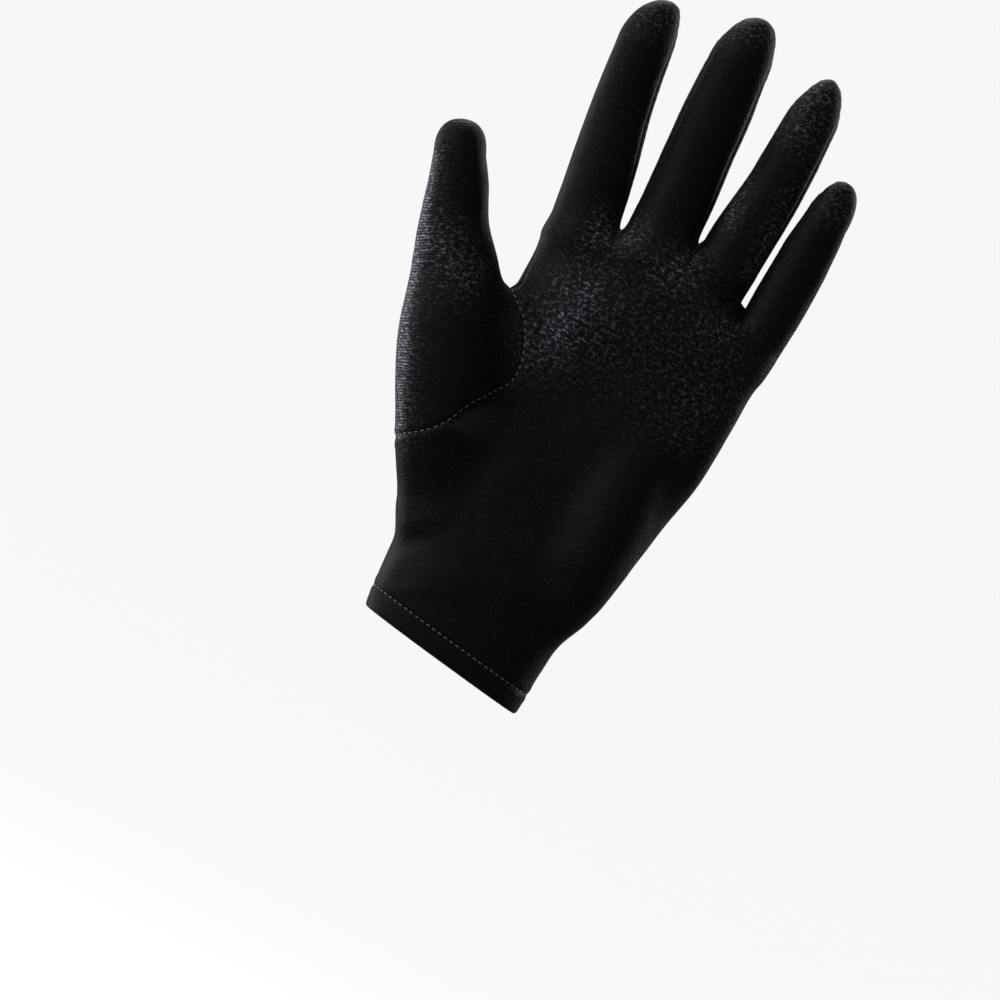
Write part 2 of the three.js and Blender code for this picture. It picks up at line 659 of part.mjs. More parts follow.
const fingerTip = remember((index) => limbPoint(fingers[index], 0, DIVISIONS.length + DIVISIONS.dome, 0));

function panelPoint(index, row, column, face) {
  const finger = fingers[index];
  if (row === 0) {
    return palmPoint(TOP_ROW, index * DIVISIONS.finger + column, face);
  }
  if (row === DIVISIONS.length + DIVISIONS.dome) {
    return fingerTip(index);
  }
  if (column === 0 || column === DIVISIONS.finger) {
    return fingerEdge(index, column === 0 ? 'left' : 'right', row, face);
  }
  const share = column / DIVISIONS.finger;
  const root = index * DIVISIONS.finger;
  const starts = [root, root + DIVISIONS.finger].map((c) => along(finger, palmPoint(TOP_ROW, c, face)));
  const gaps = [index === 0 ? 0 : 1, index === fingers.length - 1 ? 0 : 1];
  const [left, right] = gaps.map((gap) => gap * stripAngle(finger, row));
  const toBack = face === 'front' ? -1 : 1;
  const angle = toBack * mix(HALF_TURN - left, right, share);
  return limbPoint(finger, mix(starts[0], starts[1], share), row, angle);
}

// The palm panel or the back panel, in one piece with its side of the four fingers.
function panel(face) {
  const sheet = new Sheet();
  const flip = face === 'back';
  sheet.grid(range(TOP_ROW, (_, j) => range(COLUMNS, (__, i) => palmPoint(j, i, face))), flip);
  fingers.forEach((_, index) => {
    const acrossFinger = (j) => range(DIVISIONS.finger, (__, i) => panelPoint(index, j, i, face));
    sheet.grid(range(DIVISIONS.length + DIVISIONS.dome, (__, j) => acrossFinger(j)), flip);
  });
  return clothWall(sheet.points, sheet.faces, CLOTH);
}

// The strip in the gap between two fingers, row by row from one fingertip over the crotch to the next.
function fourchette(gap) {
  const stop = DIVISIONS.length + STRIP_STOP;
  const saddle = crotch(gap);
  const [front, back] = ['front', 'back'].map((face) => quirk(gap, face));
  const bottom = range(DIVISIONS.strip, (share, i) => {
    if (i === 0 || i === DIVISIONS.strip) {
      return i === 0 ? front : back;
    }
    const swing = share * HALF_TURN;
    const z = mix(mix(front.z, back.z, share), saddle.z, Math.sin(swing));
    return press(vec(saddle.x, mix(front.y, back.y, (1 - Math.cos(swing)) / 2), z));
  });
  const leg = (index, side, row) => range(DIVISIONS.strip, (share, i) => {
    const finger = fingers[index];
    if (i === 0 || i === DIVISIONS.strip || row === stop) {
      return fingerEdge(index, side, row, i === 0 || row === stop ? 'front' : 'back');
    }
    const wide = stripAngle(finger, row) * (2 * share - 1);
    const edge = mix(along(finger, front), along(finger, back), share);
    const start = mix(edge, along(finger, saddle), Math.sin(share * HALF_TURN));
    return limbPoint(finger, start, row, side === 'left' ? HALF_TURN - wide : wide);
  });
  const down = range(stop - 1, (_, j) => leg(gap, 'right', stop - j));
  const up = range(stop - 1, (_, j) => leg(gap + 1, 'left', j + 1));
  const sheet = new Sheet();
  sheet.grid([...down, bottom, ...up], true);
  return clothWall(sheet.points, sheet.faces, CLOTH);
}

// The thumb's sock: rings that start on the seam round the ball of the thumb and even out to the tip.
function thumbSock() {
  const half = DIVISIONS.thumb;
  const loop = [
    ...range(half, (share) => thumbSeam(share, 'front')).slice(0, half),
    ...range(half, (share) => thumbSeam(1 - share, 'back')).slice(0, half),
  ];
  const starts = loop.map((p, i) => {
    const t = along(thumb, p);
    const s = thumb.section(Math.max(t, 0));
    const q = p.clone().sub(thumb.foot);
    const u = (q.dot(thumb.side) - s.across) / s.halfWidth;
    const v = (q.y + s.forward) / s.halfDepth;
    const even = -HALF_TURN + i / half * HALF_TURN;
    const angle = Math.atan2(v, u);
    const turns = Math.round((even - angle) / (2 * HALF_TURN));
    return { t, even, angle: angle + turns * 2 * HALF_TURN, out: Math.hypot(u, v) };
  });
  const ring = (row) => starts.map((start, i) => {
    if (row === 0) {
      return loop[i];
    }
    if (row > DIVISIONS.sock) {
      return limbPoint(thumb, 0, DIVISIONS.length + (row - DIVISIONS.sock), start.even);
    }
    const share = row / DIVISIONS.sock;
    const settle = Math.min(share * SOCK_SETTLE, 1);
    const t = mix(start.t, thumb.body, share);
    return press(thumb.point(t, mix(start.angle, start.even, settle), mix(start.out, 1, settle)));
  });
  const tip = limbPoint(thumb, 0, DIVISIONS.length + DIVISIONS.dome, 0);
  const rings = range(DIVISIONS.sock + DIVISIONS.dome - 1, (_, j) => ring(j));
  const sheet = new Sheet();
  sheet.grid([...rings.map((points) => [...points, points[0]]), Array(loop.length + 1).fill(tip)], false);
  return clothWall(sheet.points, sheet.faces, CLOTH);
}

// The hem's section: heights above its edge and depths below the outer face, both as shares.
const HEM_PROFILE = [
  { height: 1, depth: 0 },
  { height: 0.5, depth: 0 },
  { height: 0.1, depth: 0.08 },
  { height: 0, depth: 0.5 },
  { height: 0.1, depth: 0.92 },
  { height: 0.5, depth: 1 },
  { height: 1, depth: 1 },
];

// The turned-up hem: one closed profile carried round the wrist under the two panels.
function hem() {
  const lanes = [
    ...range(COLUMNS, (_, i) => ({ top: palmPoint(0, i, 'front'), face: 'front' })).slice(0, COLUMNS),
    ...range(COLUMNS, (_, i) => ({ top: palmPoint(0, COLUMNS - i, 'back'), face: 'back' })).slice(0, COLUMNS),
  ];
  const clear = HEM_HEIGHT - SEAM_GAP / 2;
  const points = lanes.flatMap(({ top, face }) => HEM_PROFILE.map((row) => {
    const toFace = face === 'front' ? -1 : 1;
    const angle = Math.atan2(toFace * top.y, top.x);
    const out = wristPoint(row.height * clear, angle, face);
    return out.clone().addScaledVector(gradient(out).setZ(0).normalize(), -row.depth * HEM_CLOTH);
  }));
  const [rows, count] = [HEM_PROFILE.length, lanes.length];
  const indices = lanes.flatMap((_, i) => HEM_PROFILE.flatMap((__, j) => {
    const [a, b] = [i * rows + j, i * rows + (j + 1) % rows];
    const [c, d] = [(i + 1) % count * rows + (j + 1) % rows, (i + 1) % count * rows + j];
    return [a, b, c, a, c, d];
  }));
  return meshGeometry(points, indices);
}

const glove = new THREE.Group();

function addPiece(name, geometry, look) {
  const mesh = new THREE.Mesh(geometry, new THREE.MeshStandardMaterial(look));
  mesh.name = name;
  glove.add(mesh);
}

addPiece('palm_panel', panel('front'), SATIN);
addPiece('back_panel', panel('back'), SATIN);
addPiece('thumb_piece', thumbSock(), SATIN);
addPiece('fourchette_index_middle', fourchette(0), SATIN);
addPiece('fourchette_middle_ring', fourchette(1), SATIN);
addPiece('fourchette_ring_little', fourchette(2), SATIN);
addPiece('cuff_hem', hem(), HEM_SATIN);

export default glove;
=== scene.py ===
"""A wrist length satin dress glove for the left hand, in the form that it has when it is worn.

The classes work in millimetres in the glove's own frame: the origin is the middle of the wrist opening, +Z
runs up the hand along the middle finger, +X points to the little finger and +Y out of the back of the hand.
The cloth follows one smooth form. Its pieces are grids on that form, drawn in along the seams and closed to
thin walls, and only put_in_scene turns them into metres.
"""

import logging
from collections.abc import Callable, Sequence
from dataclasses import dataclass, field
from enum import Enum
from functools import cached_property

import bpy
import numpy as np
from mathutils import Matrix, Vector


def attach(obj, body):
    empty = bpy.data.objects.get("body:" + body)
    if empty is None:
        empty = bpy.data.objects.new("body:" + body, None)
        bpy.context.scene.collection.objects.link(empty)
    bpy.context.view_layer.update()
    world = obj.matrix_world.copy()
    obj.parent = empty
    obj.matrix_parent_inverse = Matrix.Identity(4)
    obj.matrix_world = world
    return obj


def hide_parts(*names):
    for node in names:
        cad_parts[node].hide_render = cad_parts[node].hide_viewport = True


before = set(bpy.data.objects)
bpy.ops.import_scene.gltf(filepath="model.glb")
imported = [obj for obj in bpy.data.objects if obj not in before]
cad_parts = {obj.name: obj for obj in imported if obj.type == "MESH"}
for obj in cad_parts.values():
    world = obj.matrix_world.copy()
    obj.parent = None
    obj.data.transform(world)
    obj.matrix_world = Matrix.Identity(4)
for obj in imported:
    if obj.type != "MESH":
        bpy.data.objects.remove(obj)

LOG = logging.getLogger("glove")
Array = np.ndarray

METRES = 0.001
BODY = "root"
MAP = "cloth"
# Point attribute of the painted glint zones, where the threads are painted light to stand for sparkle from
# the lights.
GLINT_ZONE = "glint_zone"
TINY = 1e-6
SMALLEST = 1e-12
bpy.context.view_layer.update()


class Face(Enum):
    """The two faces of the hand, with the way that each looks along Y."""

    PALM = -1
    BACK = 1


class Slot(Enum):
    """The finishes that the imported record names."""

    SATIN = "satin"
    STRIP = "strip_satin"
    HEM = "hem_satin"


def mix(a: Array, b: Array, share: Array) -> Array:
    """Return the value at a share of the way from a to b."""
    return a + (b - a) * share


def ease(share: Array) -> Array:
    """Return a share from 0 to 1 on a curve that starts and ends level."""
    share = np.clip(share, 0, 1)
    return share * share * (3 - 2 * share)


def unit(v: Array) -> Array:
    """Return vectors of length 1 in the same directions."""
    return v / np.maximum(np.linalg.norm(v, axis=-1, keepdims=True), SMALLEST)


class Table:
    """Rows of named columns, read on a smooth curve through the rows.

    Between two rows a column follows the cubic whose slope at each row is the slope of the line from the
    row before to the row after.
    """

    def __init__(self, columns: str, rows: Sequence[Sequence[float]]) -> None:
        """Keep the rows.

        Args:
            columns: names of the columns after the first one, which is the place along the curve.
            rows: the rows, by rising place.
        """
        data = np.array(rows, float)
        self.places = data[:, 0]
        self.values = dict(zip(columns.split(), data[:, 1:].T))

    def at(self, column: str, place: Array) -> Array:
        """Read a column.

        Args:
            column: its name.
            place: where to read it; past the last row it stays level.

        Returns:
            The values at those places.
        """
        places, values = self.places, self.values[column]
        place = np.clip(place, places[0], places[-1])
        rows = np.arange(len(places))
        before, after = np.maximum(rows - 1, 0), np.minimum(rows + 1, len(places) - 1)
        slopes = (values[after] - values[before]) / (places[after] - places[before])
        i = np.searchsorted(places[1:-1], place)
        span = places[i + 1] - places[i]
        u = (place - places[i]) / span
        low = values[i] * (2 * u**3 - 3 * u**2 + 1) + slopes[i] * span * (u**3 - 2 * u**2 + u)
        high = values[i + 1] * (3 * u**2 - 2 * u**3) + slopes[i + 1] * span * (u**3 - u**2)
        return low + high


def smooth_path(places: Array, count: int) -> Array:
    """Run a smooth curve through a few points and divide it evenly.

    The curve is a cubic between each two points whose parameter grows with the square root of their
    distance, and the points that are returned lie at equal shares of its length.

    Args:
        places: the points that it runs through.
        count: how many points to return.

    Returns:
        The points.
    """
    steps = np.sqrt(np.linalg.norm(np.diff(places, axis=0), axis=1))
    run = np.concatenate([[0], np.cumsum(steps)])
    table = Table("x y z", np.column_stack([run, places]))
    fine = np.linspace(0, run[-1], 600)
    curve = np.column_stack([table.at(axis, fine) for axis in "xyz"])
    length = travelled(curve)
    even = np.linspace(0, length[-1], count)
    return np.column_stack([np.interp(even, length, curve[:, axis]) for axis in range(3)])


def travelled(points: Array) -> Array:
    """Return how far along a line of points each of them lies."""
    steps = np.linalg.norm(np.diff(points, axis=0), axis=-1)
    return np.concatenate([np.zeros((1, *steps.shape[1:])), np.cumsum(steps, axis=0)])


def along_rows(grid: Array) -> Array:
    """Return how far along its row each point of a grid lies."""
    return travelled(grid.transpose(1, 0, 2)).T


@dataclass(frozen=True)
class Limb:
    """A finger or the thumb: a tube of elliptical sections along a leaning axis, with a rounded end.

    The table's along is a share of the length below the rounded end. shift and width are shares of the
    width, forward, towards the palm, and depth are shares of the depth. lean is in degrees to the little
    finger. A blunt of 2 makes the rounded end an ellipse and more makes it squarer, and slant draws its top
    towards the little finger, as a share of the width.
    """

    name: str
    length: float
    width: float
    depth: float
    lean: float
    tip: float
    blunt: float
    slant: float
    foot: Array
    sections: Table

    @property
    def body(self) -> float:
        """Return the length below the rounded end."""
        return self.length - self.tip

    @cached_property
    def axis(self) -> Array:
        """Return the direction from the foot to the tip."""
        return np.array([np.sin(np.radians(self.lean)), 0, np.cos(np.radians(self.lean))])

    @cached_property
    def side(self) -> Array:
        """Return the direction across the limb, to the little finger."""
        return np.array([self.axis[2], 0, -self.axis[0]])

    def section(self, t: Array) -> tuple[Array, Array, Array, Array]:
        """Give the section at a distance along the axis.

        Args:
            t: the distance from the foot.

        Returns:
            The middle's shift across and forward, and half the width and the depth.
        """
        share = t / self.body
        past = np.clip((t - self.body) / self.tip, 0, 1)
        across = (self.sections.at("shift", share) + self.slant * past**2) * self.width
        forward = self.sections.at("forward", share) * self.depth
        half_width = self.sections.at("width", share) * self.width / 2
        half_depth = self.sections.at("depth", share) * self.depth / 2
        return across, forward, half_width, half_depth

    def point(self, t: Array, angle: Array, out: Array) -> Array:
        """Place points by distance along the axis, angle round it and share of the way out to the skin.

        The point is the foot, plus t along the axis, plus the cosine of the angle times half the width
        across and the sine times half the depth towards the back.

        Args:
            t: the distance from the foot, which goes straight on past the last section.
            angle: from the little finger's side over the back.
            out: the share of the way out.

        Returns:
            The points.
        """
        across, forward, half_width, half_depth = self.section(t)
        sideways = across + half_width * out * np.cos(angle)
        points = self.foot + t[..., None] * self.axis + sideways[..., None] * self.side
        points[..., 1] = self.foot[1] - forward + half_depth * out * np.sin(angle)
        return points

    def spread(self, p: Array) -> tuple[Array, Array, Array, Array, Array]:
        """Measure points against the sections.

        Args:
            p: the points.

        Returns:
            The distance along, u and v as shares of half the width and half the depth, and those halves.
        """
        q = p - self.foot
        t = q @ self.axis
        across, forward, half_width, half_depth = self.section(t)
        u = (q @ self.side - across) / half_width
        v = (q[..., 1] + forward) / half_depth
        return t, u, v, half_width, half_depth

    def place(self, p: Array) -> tuple[Array, Array, Array]:
        """Give the distance along, the angle and the share out of points, as point takes them."""
        t, u, v, _, _ = self.spread(p)
        return t, np.arctan2(v, u), np.hypot(u, v)

    def distance(self, p: Array) -> Array:
        """Measure how far points are from the skin, below 0 inside.

        Let r be the length of (u, v), the shares of the half width and the half depth, and w the share of
        the rounded end. The skin is where near, the root of the sum of the powers of r and w to blunt, is 1,
        and the distance is near less 1 over the steepness of near.

        Args:
            p: the points.

        Returns:
            The distances, true close to the skin.
        """
        t, u, v, half_width, half_depth = self.spread(p)
        cap = np.where(t > self.body, self.tip, self.width / 2)
        w = np.maximum(np.maximum(t - self.body, -t), 0) / cap
        n = self.blunt
        r = np.maximum(np.hypot(u, v), TINY)
        near = (r**n + w**n) ** (1 / n)
        bend = r ** (n - 2)
        rise = (bend * u / half_width) ** 2 + (bend * v / half_depth) ** 2
        steep = np.sqrt(rise + (w ** (n - 1) / cap) ** 2)
        return (near - 1) / np.maximum(steep * near ** (1 - n), TINY)


@dataclass(frozen=True)
class Fold:
    """A fold or dent along a line: a bell across the line that fades towards both ends.

    x is a share of the knuckle row's width from its thumb side and z of the palm's length. width and height
    are millimetres, and a height below 0 is a dent.
    """

    face: Face
    start: tuple[float, float]
    end: tuple[float, float]
    width: float
    height: float


def smooth_min(a: Array, b: Array, blend: float) -> Array:
    """Return the lesser of two distances, rounded off over a blend where they are alike."""
    return np.minimum(a, b) - np.maximum(blend - np.abs(a - b), 0) ** 2 / (4 * blend)


FINGER_COLUMNS = "shift width forward depth"
FINGER_SECTIONS = {
    "index": Table(FINGER_COLUMNS, [
        (0, -0.01, 0.975, 0, 1),
        (0.3, -0.023, 0.955, 0.02, 0.95),
        (0.6, -0.043, 0.886, 0.09, 0.88),
        (0.8, -0.044, 0.841, 0.17, 0.83),
        (1, -0.035, 0.8, 0.28, 0.76),
    ]),
    "middle": Table(FINGER_COLUMNS, [
        (0, 0.01, 1, 0, 1),
        (0.3, 0.026, 0.975, 0.02, 0.95),
        (0.6, 0.014, 0.962, 0.09, 0.88),
        (0.8, 0.017, 0.942, 0.17, 0.82),
        (1, 0.017, 0.863, 0.28, 0.75),
    ]),
    "ring": Table(FINGER_COLUMNS, [
        (0, 0, 1, 0, 1),
        (0.3, 0.011, 0.99, 0.03, 0.95),
        (0.6, 0.055, 0.92, 0.11, 0.88),
        (0.8, 0.046, 0.872, 0.2, 0.83),
        (1, 0.025, 0.8, 0.32, 0.75),
    ]),
    "little": Table(FINGER_COLUMNS, [
        (0, 0.022, 0.97, 0, 1),
        (0.3, 0.03, 1.009, 0.03, 0.95),
        (0.6, 0.03, 0.997, 0.1, 0.88),
        (0.8, 0.011, 0.941, 0.18, 0.83),
        (1, 0.007, 0.82, 0.28, 0.76),
    ]),
    "thumb": Table(FINGER_COLUMNS, [
        (0, 0.07, 0.95, 0.1, 1.05),
        (0.17, 0.11, 1.26, 0.24, 1.36),
        (0.33, 0.14, 1.44, 0.34, 1.54),
        (0.48, 0.11, 1.42, 0.4, 1.48),
        (0.57, 0.115, 1.325, 0.43, 1.32),
        (0.65, 0.135, 1.27, 0.45, 1.18),
        (0.7, 0.115, 1.205, 0.47, 1.1),
        (0.81, 0.055, 0.98, 0.53, 0.98),
        (0.92, 0.065, 0.86, 0.6, 0.93),
        (1, 0.05, 0.745, 0.66, 0.84),
    ]),
}
FINGER_SIZES = (
    {"name": "index", "length": 74.4, "width": 22, "depth": 19.5, "lean": -6.7, "root": 0.933, "tip": 16.4},
    {"name": "middle", "length": 79.8, "width": 22.3, "depth": 20, "lean": -1.6, "root": 0.947, "tip": 17.8},
    {"name": "ring", "length": 74.5, "width": 20, "depth": 18.5, "lean": 4.2, "root": 0.933, "tip": 16.2},
    {"name": "little", "length": 57.6, "width": 17, "depth": 16, "lean": 4.4, "root": 0.867, "tip": 13.3},
)
THUMB_SIZE = {"name": "thumb", "length": 117.3, "width": 22, "depth": 19, "lean": -21, "tip": 10.8}
ENDS = {
    "index": {"blunt": 2.2, "slant": 0.125},
    "middle": {"blunt": 2.1, "slant": 0.055},
    "ring": {"blunt": 1.8, "slant": -0.035},
    "little": {"blunt": 2.2, "slant": 0},
    "thumb": {"blunt": 2.4, "slant": 0},
}


@dataclass
class Hand:
    """The form that the cloth is stretched over.

    Its tables hold shares of the named sizes. along in the palm's table is a share of the palm's length;
    left, right, front and back run from 0 at the wrist's own edge to 1 at the knuckle row's edge. press
    moves a point by longest_step at most, and cast_out walks in strides and halves the last one.
    """

    wrist_width: float = 57
    wrist_depth: float = 38
    palm_length: float = 150
    palm_depth: float = 25
    knuckle_offset: float = 11.3
    finger_slit: float = 0.5
    palm_squareness: float = 2.4
    palm_top: float = 5
    finger_blend: float = 1.6
    palm_blend: float = 8
    thumb_blend: float = 7
    thumb_side: float = -0.455
    thumb_root: float = 0.287
    probe: float = 0.05
    press_steps: int = 6
    longest_step: float = 3
    least_slope: float = 0.2
    stride: float = 1.5
    halvings: int = 14
    palm: Table = field(default_factory=lambda: Table("left right front back", [
        (-0.06, 0, -0.02, -0.02, -0.02),
        (0, 0, 0, 0, 0),
        (0.12, 0.6, 0.08, 0.16, 0.1),
        (0.25, 1, 0.24, 0.5, 0.24),
        (0.4, 1.4, 0.55, 0.78, 0.42),
        (0.55, 1.4, 0.8, 0.88, 0.58),
        (0.7, 0.9, 0.88, 0.88, 0.74),
        (0.84, 0.4, 0.93, 0.86, 0.86),
        (0.95, -2, 0.93, 1, 1),
    ]))
    roots: Table = field(default_factory=lambda: Table("top", [
        (0, 0.87), (0.27, 0.902), (0.54, 0.94), (0.79, 0.857), (1, 0.79),
    ]))
    pads: tuple[tuple[float, ...], ...] = (
        (0.7, -0.24, 0.38, 0.14, 0.5, 0.22),
        (0, -0.2, 0.675, 0.11, 0.26, 0.062),
        (0.5, -0.1, 0.8, 0.38, 0.46, 0.075),
    )
    folds: tuple[Fold, ...] = (
        Fold(Face.PALM, (0.3, 0.5), (0.42, 0.7), 11, -1.6),
        Fold(Face.PALM, (0.22, 0.76), (0.4, 0.62), 5, 0.8),
        Fold(Face.PALM, (0.1, 0.14), (0.66, 0.24), 5, 0.7),
        Fold(Face.PALM, (0.2, 0.22), (0.8, 0.33), 5, 0.6),
        Fold(Face.BACK, (0.1, 0.16), (0.75, 0.24), 5, 0.7),
        Fold(Face.BACK, (0.27, 0.7), (0.28, 0.9), 6, -0.9),
        Fold(Face.BACK, (0.53, 0.68), (0.54, 0.92), 6, -0.9),
        Fold(Face.BACK, (0.77, 0.64), (0.78, 0.86), 6, -0.9),
    )

    def __post_init__(self) -> None:
        """Set the fingers side by side along the knuckle row, with a slit between each two."""
        widths = [size["width"] for size in FINGER_SIZES]
        self.row_width = sum(widths) + self.finger_slit * (len(widths) - 1)
        self.row_left = self.knuckle_offset - self.row_width / 2
        self.row_right = self.row_left + self.row_width
        self.fingers = []
        edge = self.row_left
        for size in FINGER_SIZES:
            foot = np.array([edge + size["width"] / 2, 0, size["root"] * self.palm_length])
            own = {key: value for key, value in size.items() if key != "root"} | ENDS[size["name"]]
            self.fingers.append(Limb(**own, foot=foot, sections=FINGER_SECTIONS[size["name"]]))
            edge += size["width"] + self.finger_slit
        foot = np.array([self.thumb_side * self.wrist_width, 0, self.thumb_root * self.palm_length])
        self.thumb = Limb(**THUMB_SIZE, **ENDS["thumb"], foot=foot, sections=FINGER_SECTIONS["thumb"])

    def spot(self, x: Array, y: Array, z: Array) -> Array:
        """Return the point at shares of the knuckle row's width, the palm's depth and its length."""
        return np.array([self.row_left + x * self.row_width, y * self.palm_depth, z * self.palm_length])

    def palm_section(self, z: Array) -> tuple[Array, Array, Array, Array]:
        """Give the palm's section at a height.

        Args:
            z: the height.

        Returns:
            Its middle and half its width, and how deep it is in front of and behind the middle plane.
        """
        share = z / self.palm_length
        half = self.wrist_width / 2
        deep = (self.wrist_depth / 2, self.palm_depth / 2)
        ends = {"left": (-half, self.row_left), "right": (half, self.row_right), "front": deep, "back": deep}
        left, right, front, back = (mix(*end, self.palm.at(name, share)) for name, end in ends.items())
        return (left + right) / 2, (right - left) / 2, front, back

    def palm_distance(self, p: Array) -> Array:
        """Return the distance from the palm: a rounded box in section, of power n, closed by a round top."""
        middle, half_width, front, back = self.palm_section(p[..., 2])
        half_depth = np.where(p[..., 1] < 0, front, back)
        top = self.palm_length * self.roots.at("top", (p[..., 0] - self.row_left) / self.row_width)
        n = self.palm_squareness
        u = np.abs(p[..., 0] - middle) / half_width
        v = np.abs(p[..., 1]) / half_depth
        w = np.maximum(p[..., 2] - top, 0) / self.palm_top
        near = np.maximum((u**n + v**n + w**n) ** (1 / n), TINY)
        rise = (u ** (n - 1) / half_width) ** 2 + (v ** (n - 1) / half_depth) ** 2
        steep = np.sqrt(rise + (w ** (n - 1) / self.palm_top) ** 2) * near ** (1 - n)
        return (near - 1) / np.maximum(steep, TINY)

    def pad_distance(self, pad: Sequence[float], p: Array) -> Array:
        """Return the distance from a pad, an ellipsoid by shares of the palm's sizes."""
        q = p - self.spot(*pad[:3])
        reach = np.array(pad[3:]) * (self.row_width, self.palm_depth, self.palm_length)
        near = np.linalg.norm(q / reach, axis=-1)
        steep = np.linalg.norm(q / reach**2, axis=-1)
        return near * (near - 1) / np.maximum(steep, TINY)

    def fold_lift(self, fold: Fold, p: Array) -> Array:
        """Lift the cloth along a fold.

        The lift is the height times a bell of the distance across the line, times the fourth power bell of
        the place along it, on the fold's own face.

        Args:
            fold: the fold.
            p: the points.

        Returns:
            The lift at each point.
        """
        start, end = (self.spot(x, 0, z) for x, z in (fold.start, fold.end))
        line = end - start
        run = np.linalg.norm(line)
        q = p - start
        along = (q[..., 0] * line[0] + q[..., 2] * line[2]) / run**2
        across = (q[..., 0] * line[2] - q[..., 2] * line[0]) / run
        facing = np.clip(fold.face.value * p[..., 1] / (self.palm_depth / 4), 0, 1)
        return fold.height * facing * np.exp(-((2 * along - 1) ** 4) - (across / fold.width) ** 2)

    def distance(self, p: Array) -> Array:
        """Measure how far points are from the cloth's outer face, below 0 inside the hand's form.

        The fingers, the palm, its pads and the thumb run into each other through a rounded least distance,
        and the folds are taken off it.

        Args:
            p: the points.

        Returns:
            The distances.
        """
        d = self.fingers[0].distance(p)
        for finger in self.fingers[1:]:
            d = smooth_min(d, finger.distance(p), self.finger_blend)
        d = smooth_min(d, self.palm_distance(p), self.palm_blend)
        for pad in self.pads:
            d = smooth_min(d, self.pad_distance(pad, p), self.palm_blend)
        d = smooth_min(d, self.thumb.distance(p), self.thumb_blend)
        for fold in self.folds:
            d = d - self.fold_lift(fold, p)
        return d

    def slope(self, p: Array) -> tuple[Array, Array]:
        """Give the distance and its slope, from four points round each point.

        Args:
            p: the points.

        Returns:
            The distances, and the directions in which they grow, whose length is how fast.
        """
        corners = np.array([(1, -1, -1), (-1, -1, 1), (-1, 1, -1), (1, 1, 1)]) * self.probe
        values = np.stack([self.distance(p + corner) for corner in corners])
        steep = np.tensordot(values, corners, axes=(0, 0)) / (4 * self.probe**2)
        return values.mean(axis=0), steep

    def normals(self, p: Array) -> Array:
        """Return the outward directions at points of the outer face."""
        return unit(self.slope(p)[1])

    def press(self, p: Array) -> Array:
        """Return points moved onto the outer face along the steepest way, in a few steps."""
        for _ in range(self.press_steps):
            d, steep = self.slope(p)
            step = np.clip(d, -self.longest_step, self.longest_step)
            step = step / np.maximum((steep**2).sum(-1), self.least_slope)
            p = p - step[..., None] * steep
        return p

    def cast_out(self, origin: Array, direction: Array) -> Array:
        """Walk from inside the hand to the outer face, in strides and then by halving the last stride.

        Args:
            origin: where each walk starts.
            direction: where it goes.

        Returns:
            The points of the outer face.
        """
        origin, direction = np.broadcast_arrays(np.asarray(origin, float), np.asarray(direction, float))
        shape = origin.shape
        origin, direction = origin.reshape(-1, 3), direction.reshape(-1, 3)
        far = np.full(len(origin), self.stride)
        walking = np.arange(len(origin))
        while len(walking):
            reached = origin[walking] + far[walking, None] * direction[walking]
            walking = walking[self.distance(reached) < 0]
            far[walking] += self.stride
        near = far - self.stride
        for _ in range(self.halvings):
            half = (near + far) / 2
            inside = self.distance(origin + half[:, None] * direction) < 0
            near, far = np.where(inside, half, near), np.where(inside, far, half)
        return (origin + near[:, None] * direction).reshape(shape)


Settling = Callable[[Array], Array]


def early(share: Array) -> Array:
    """Return a share that has settled by a sixth of the way, eased at both ends."""
    return ease(share * 6)


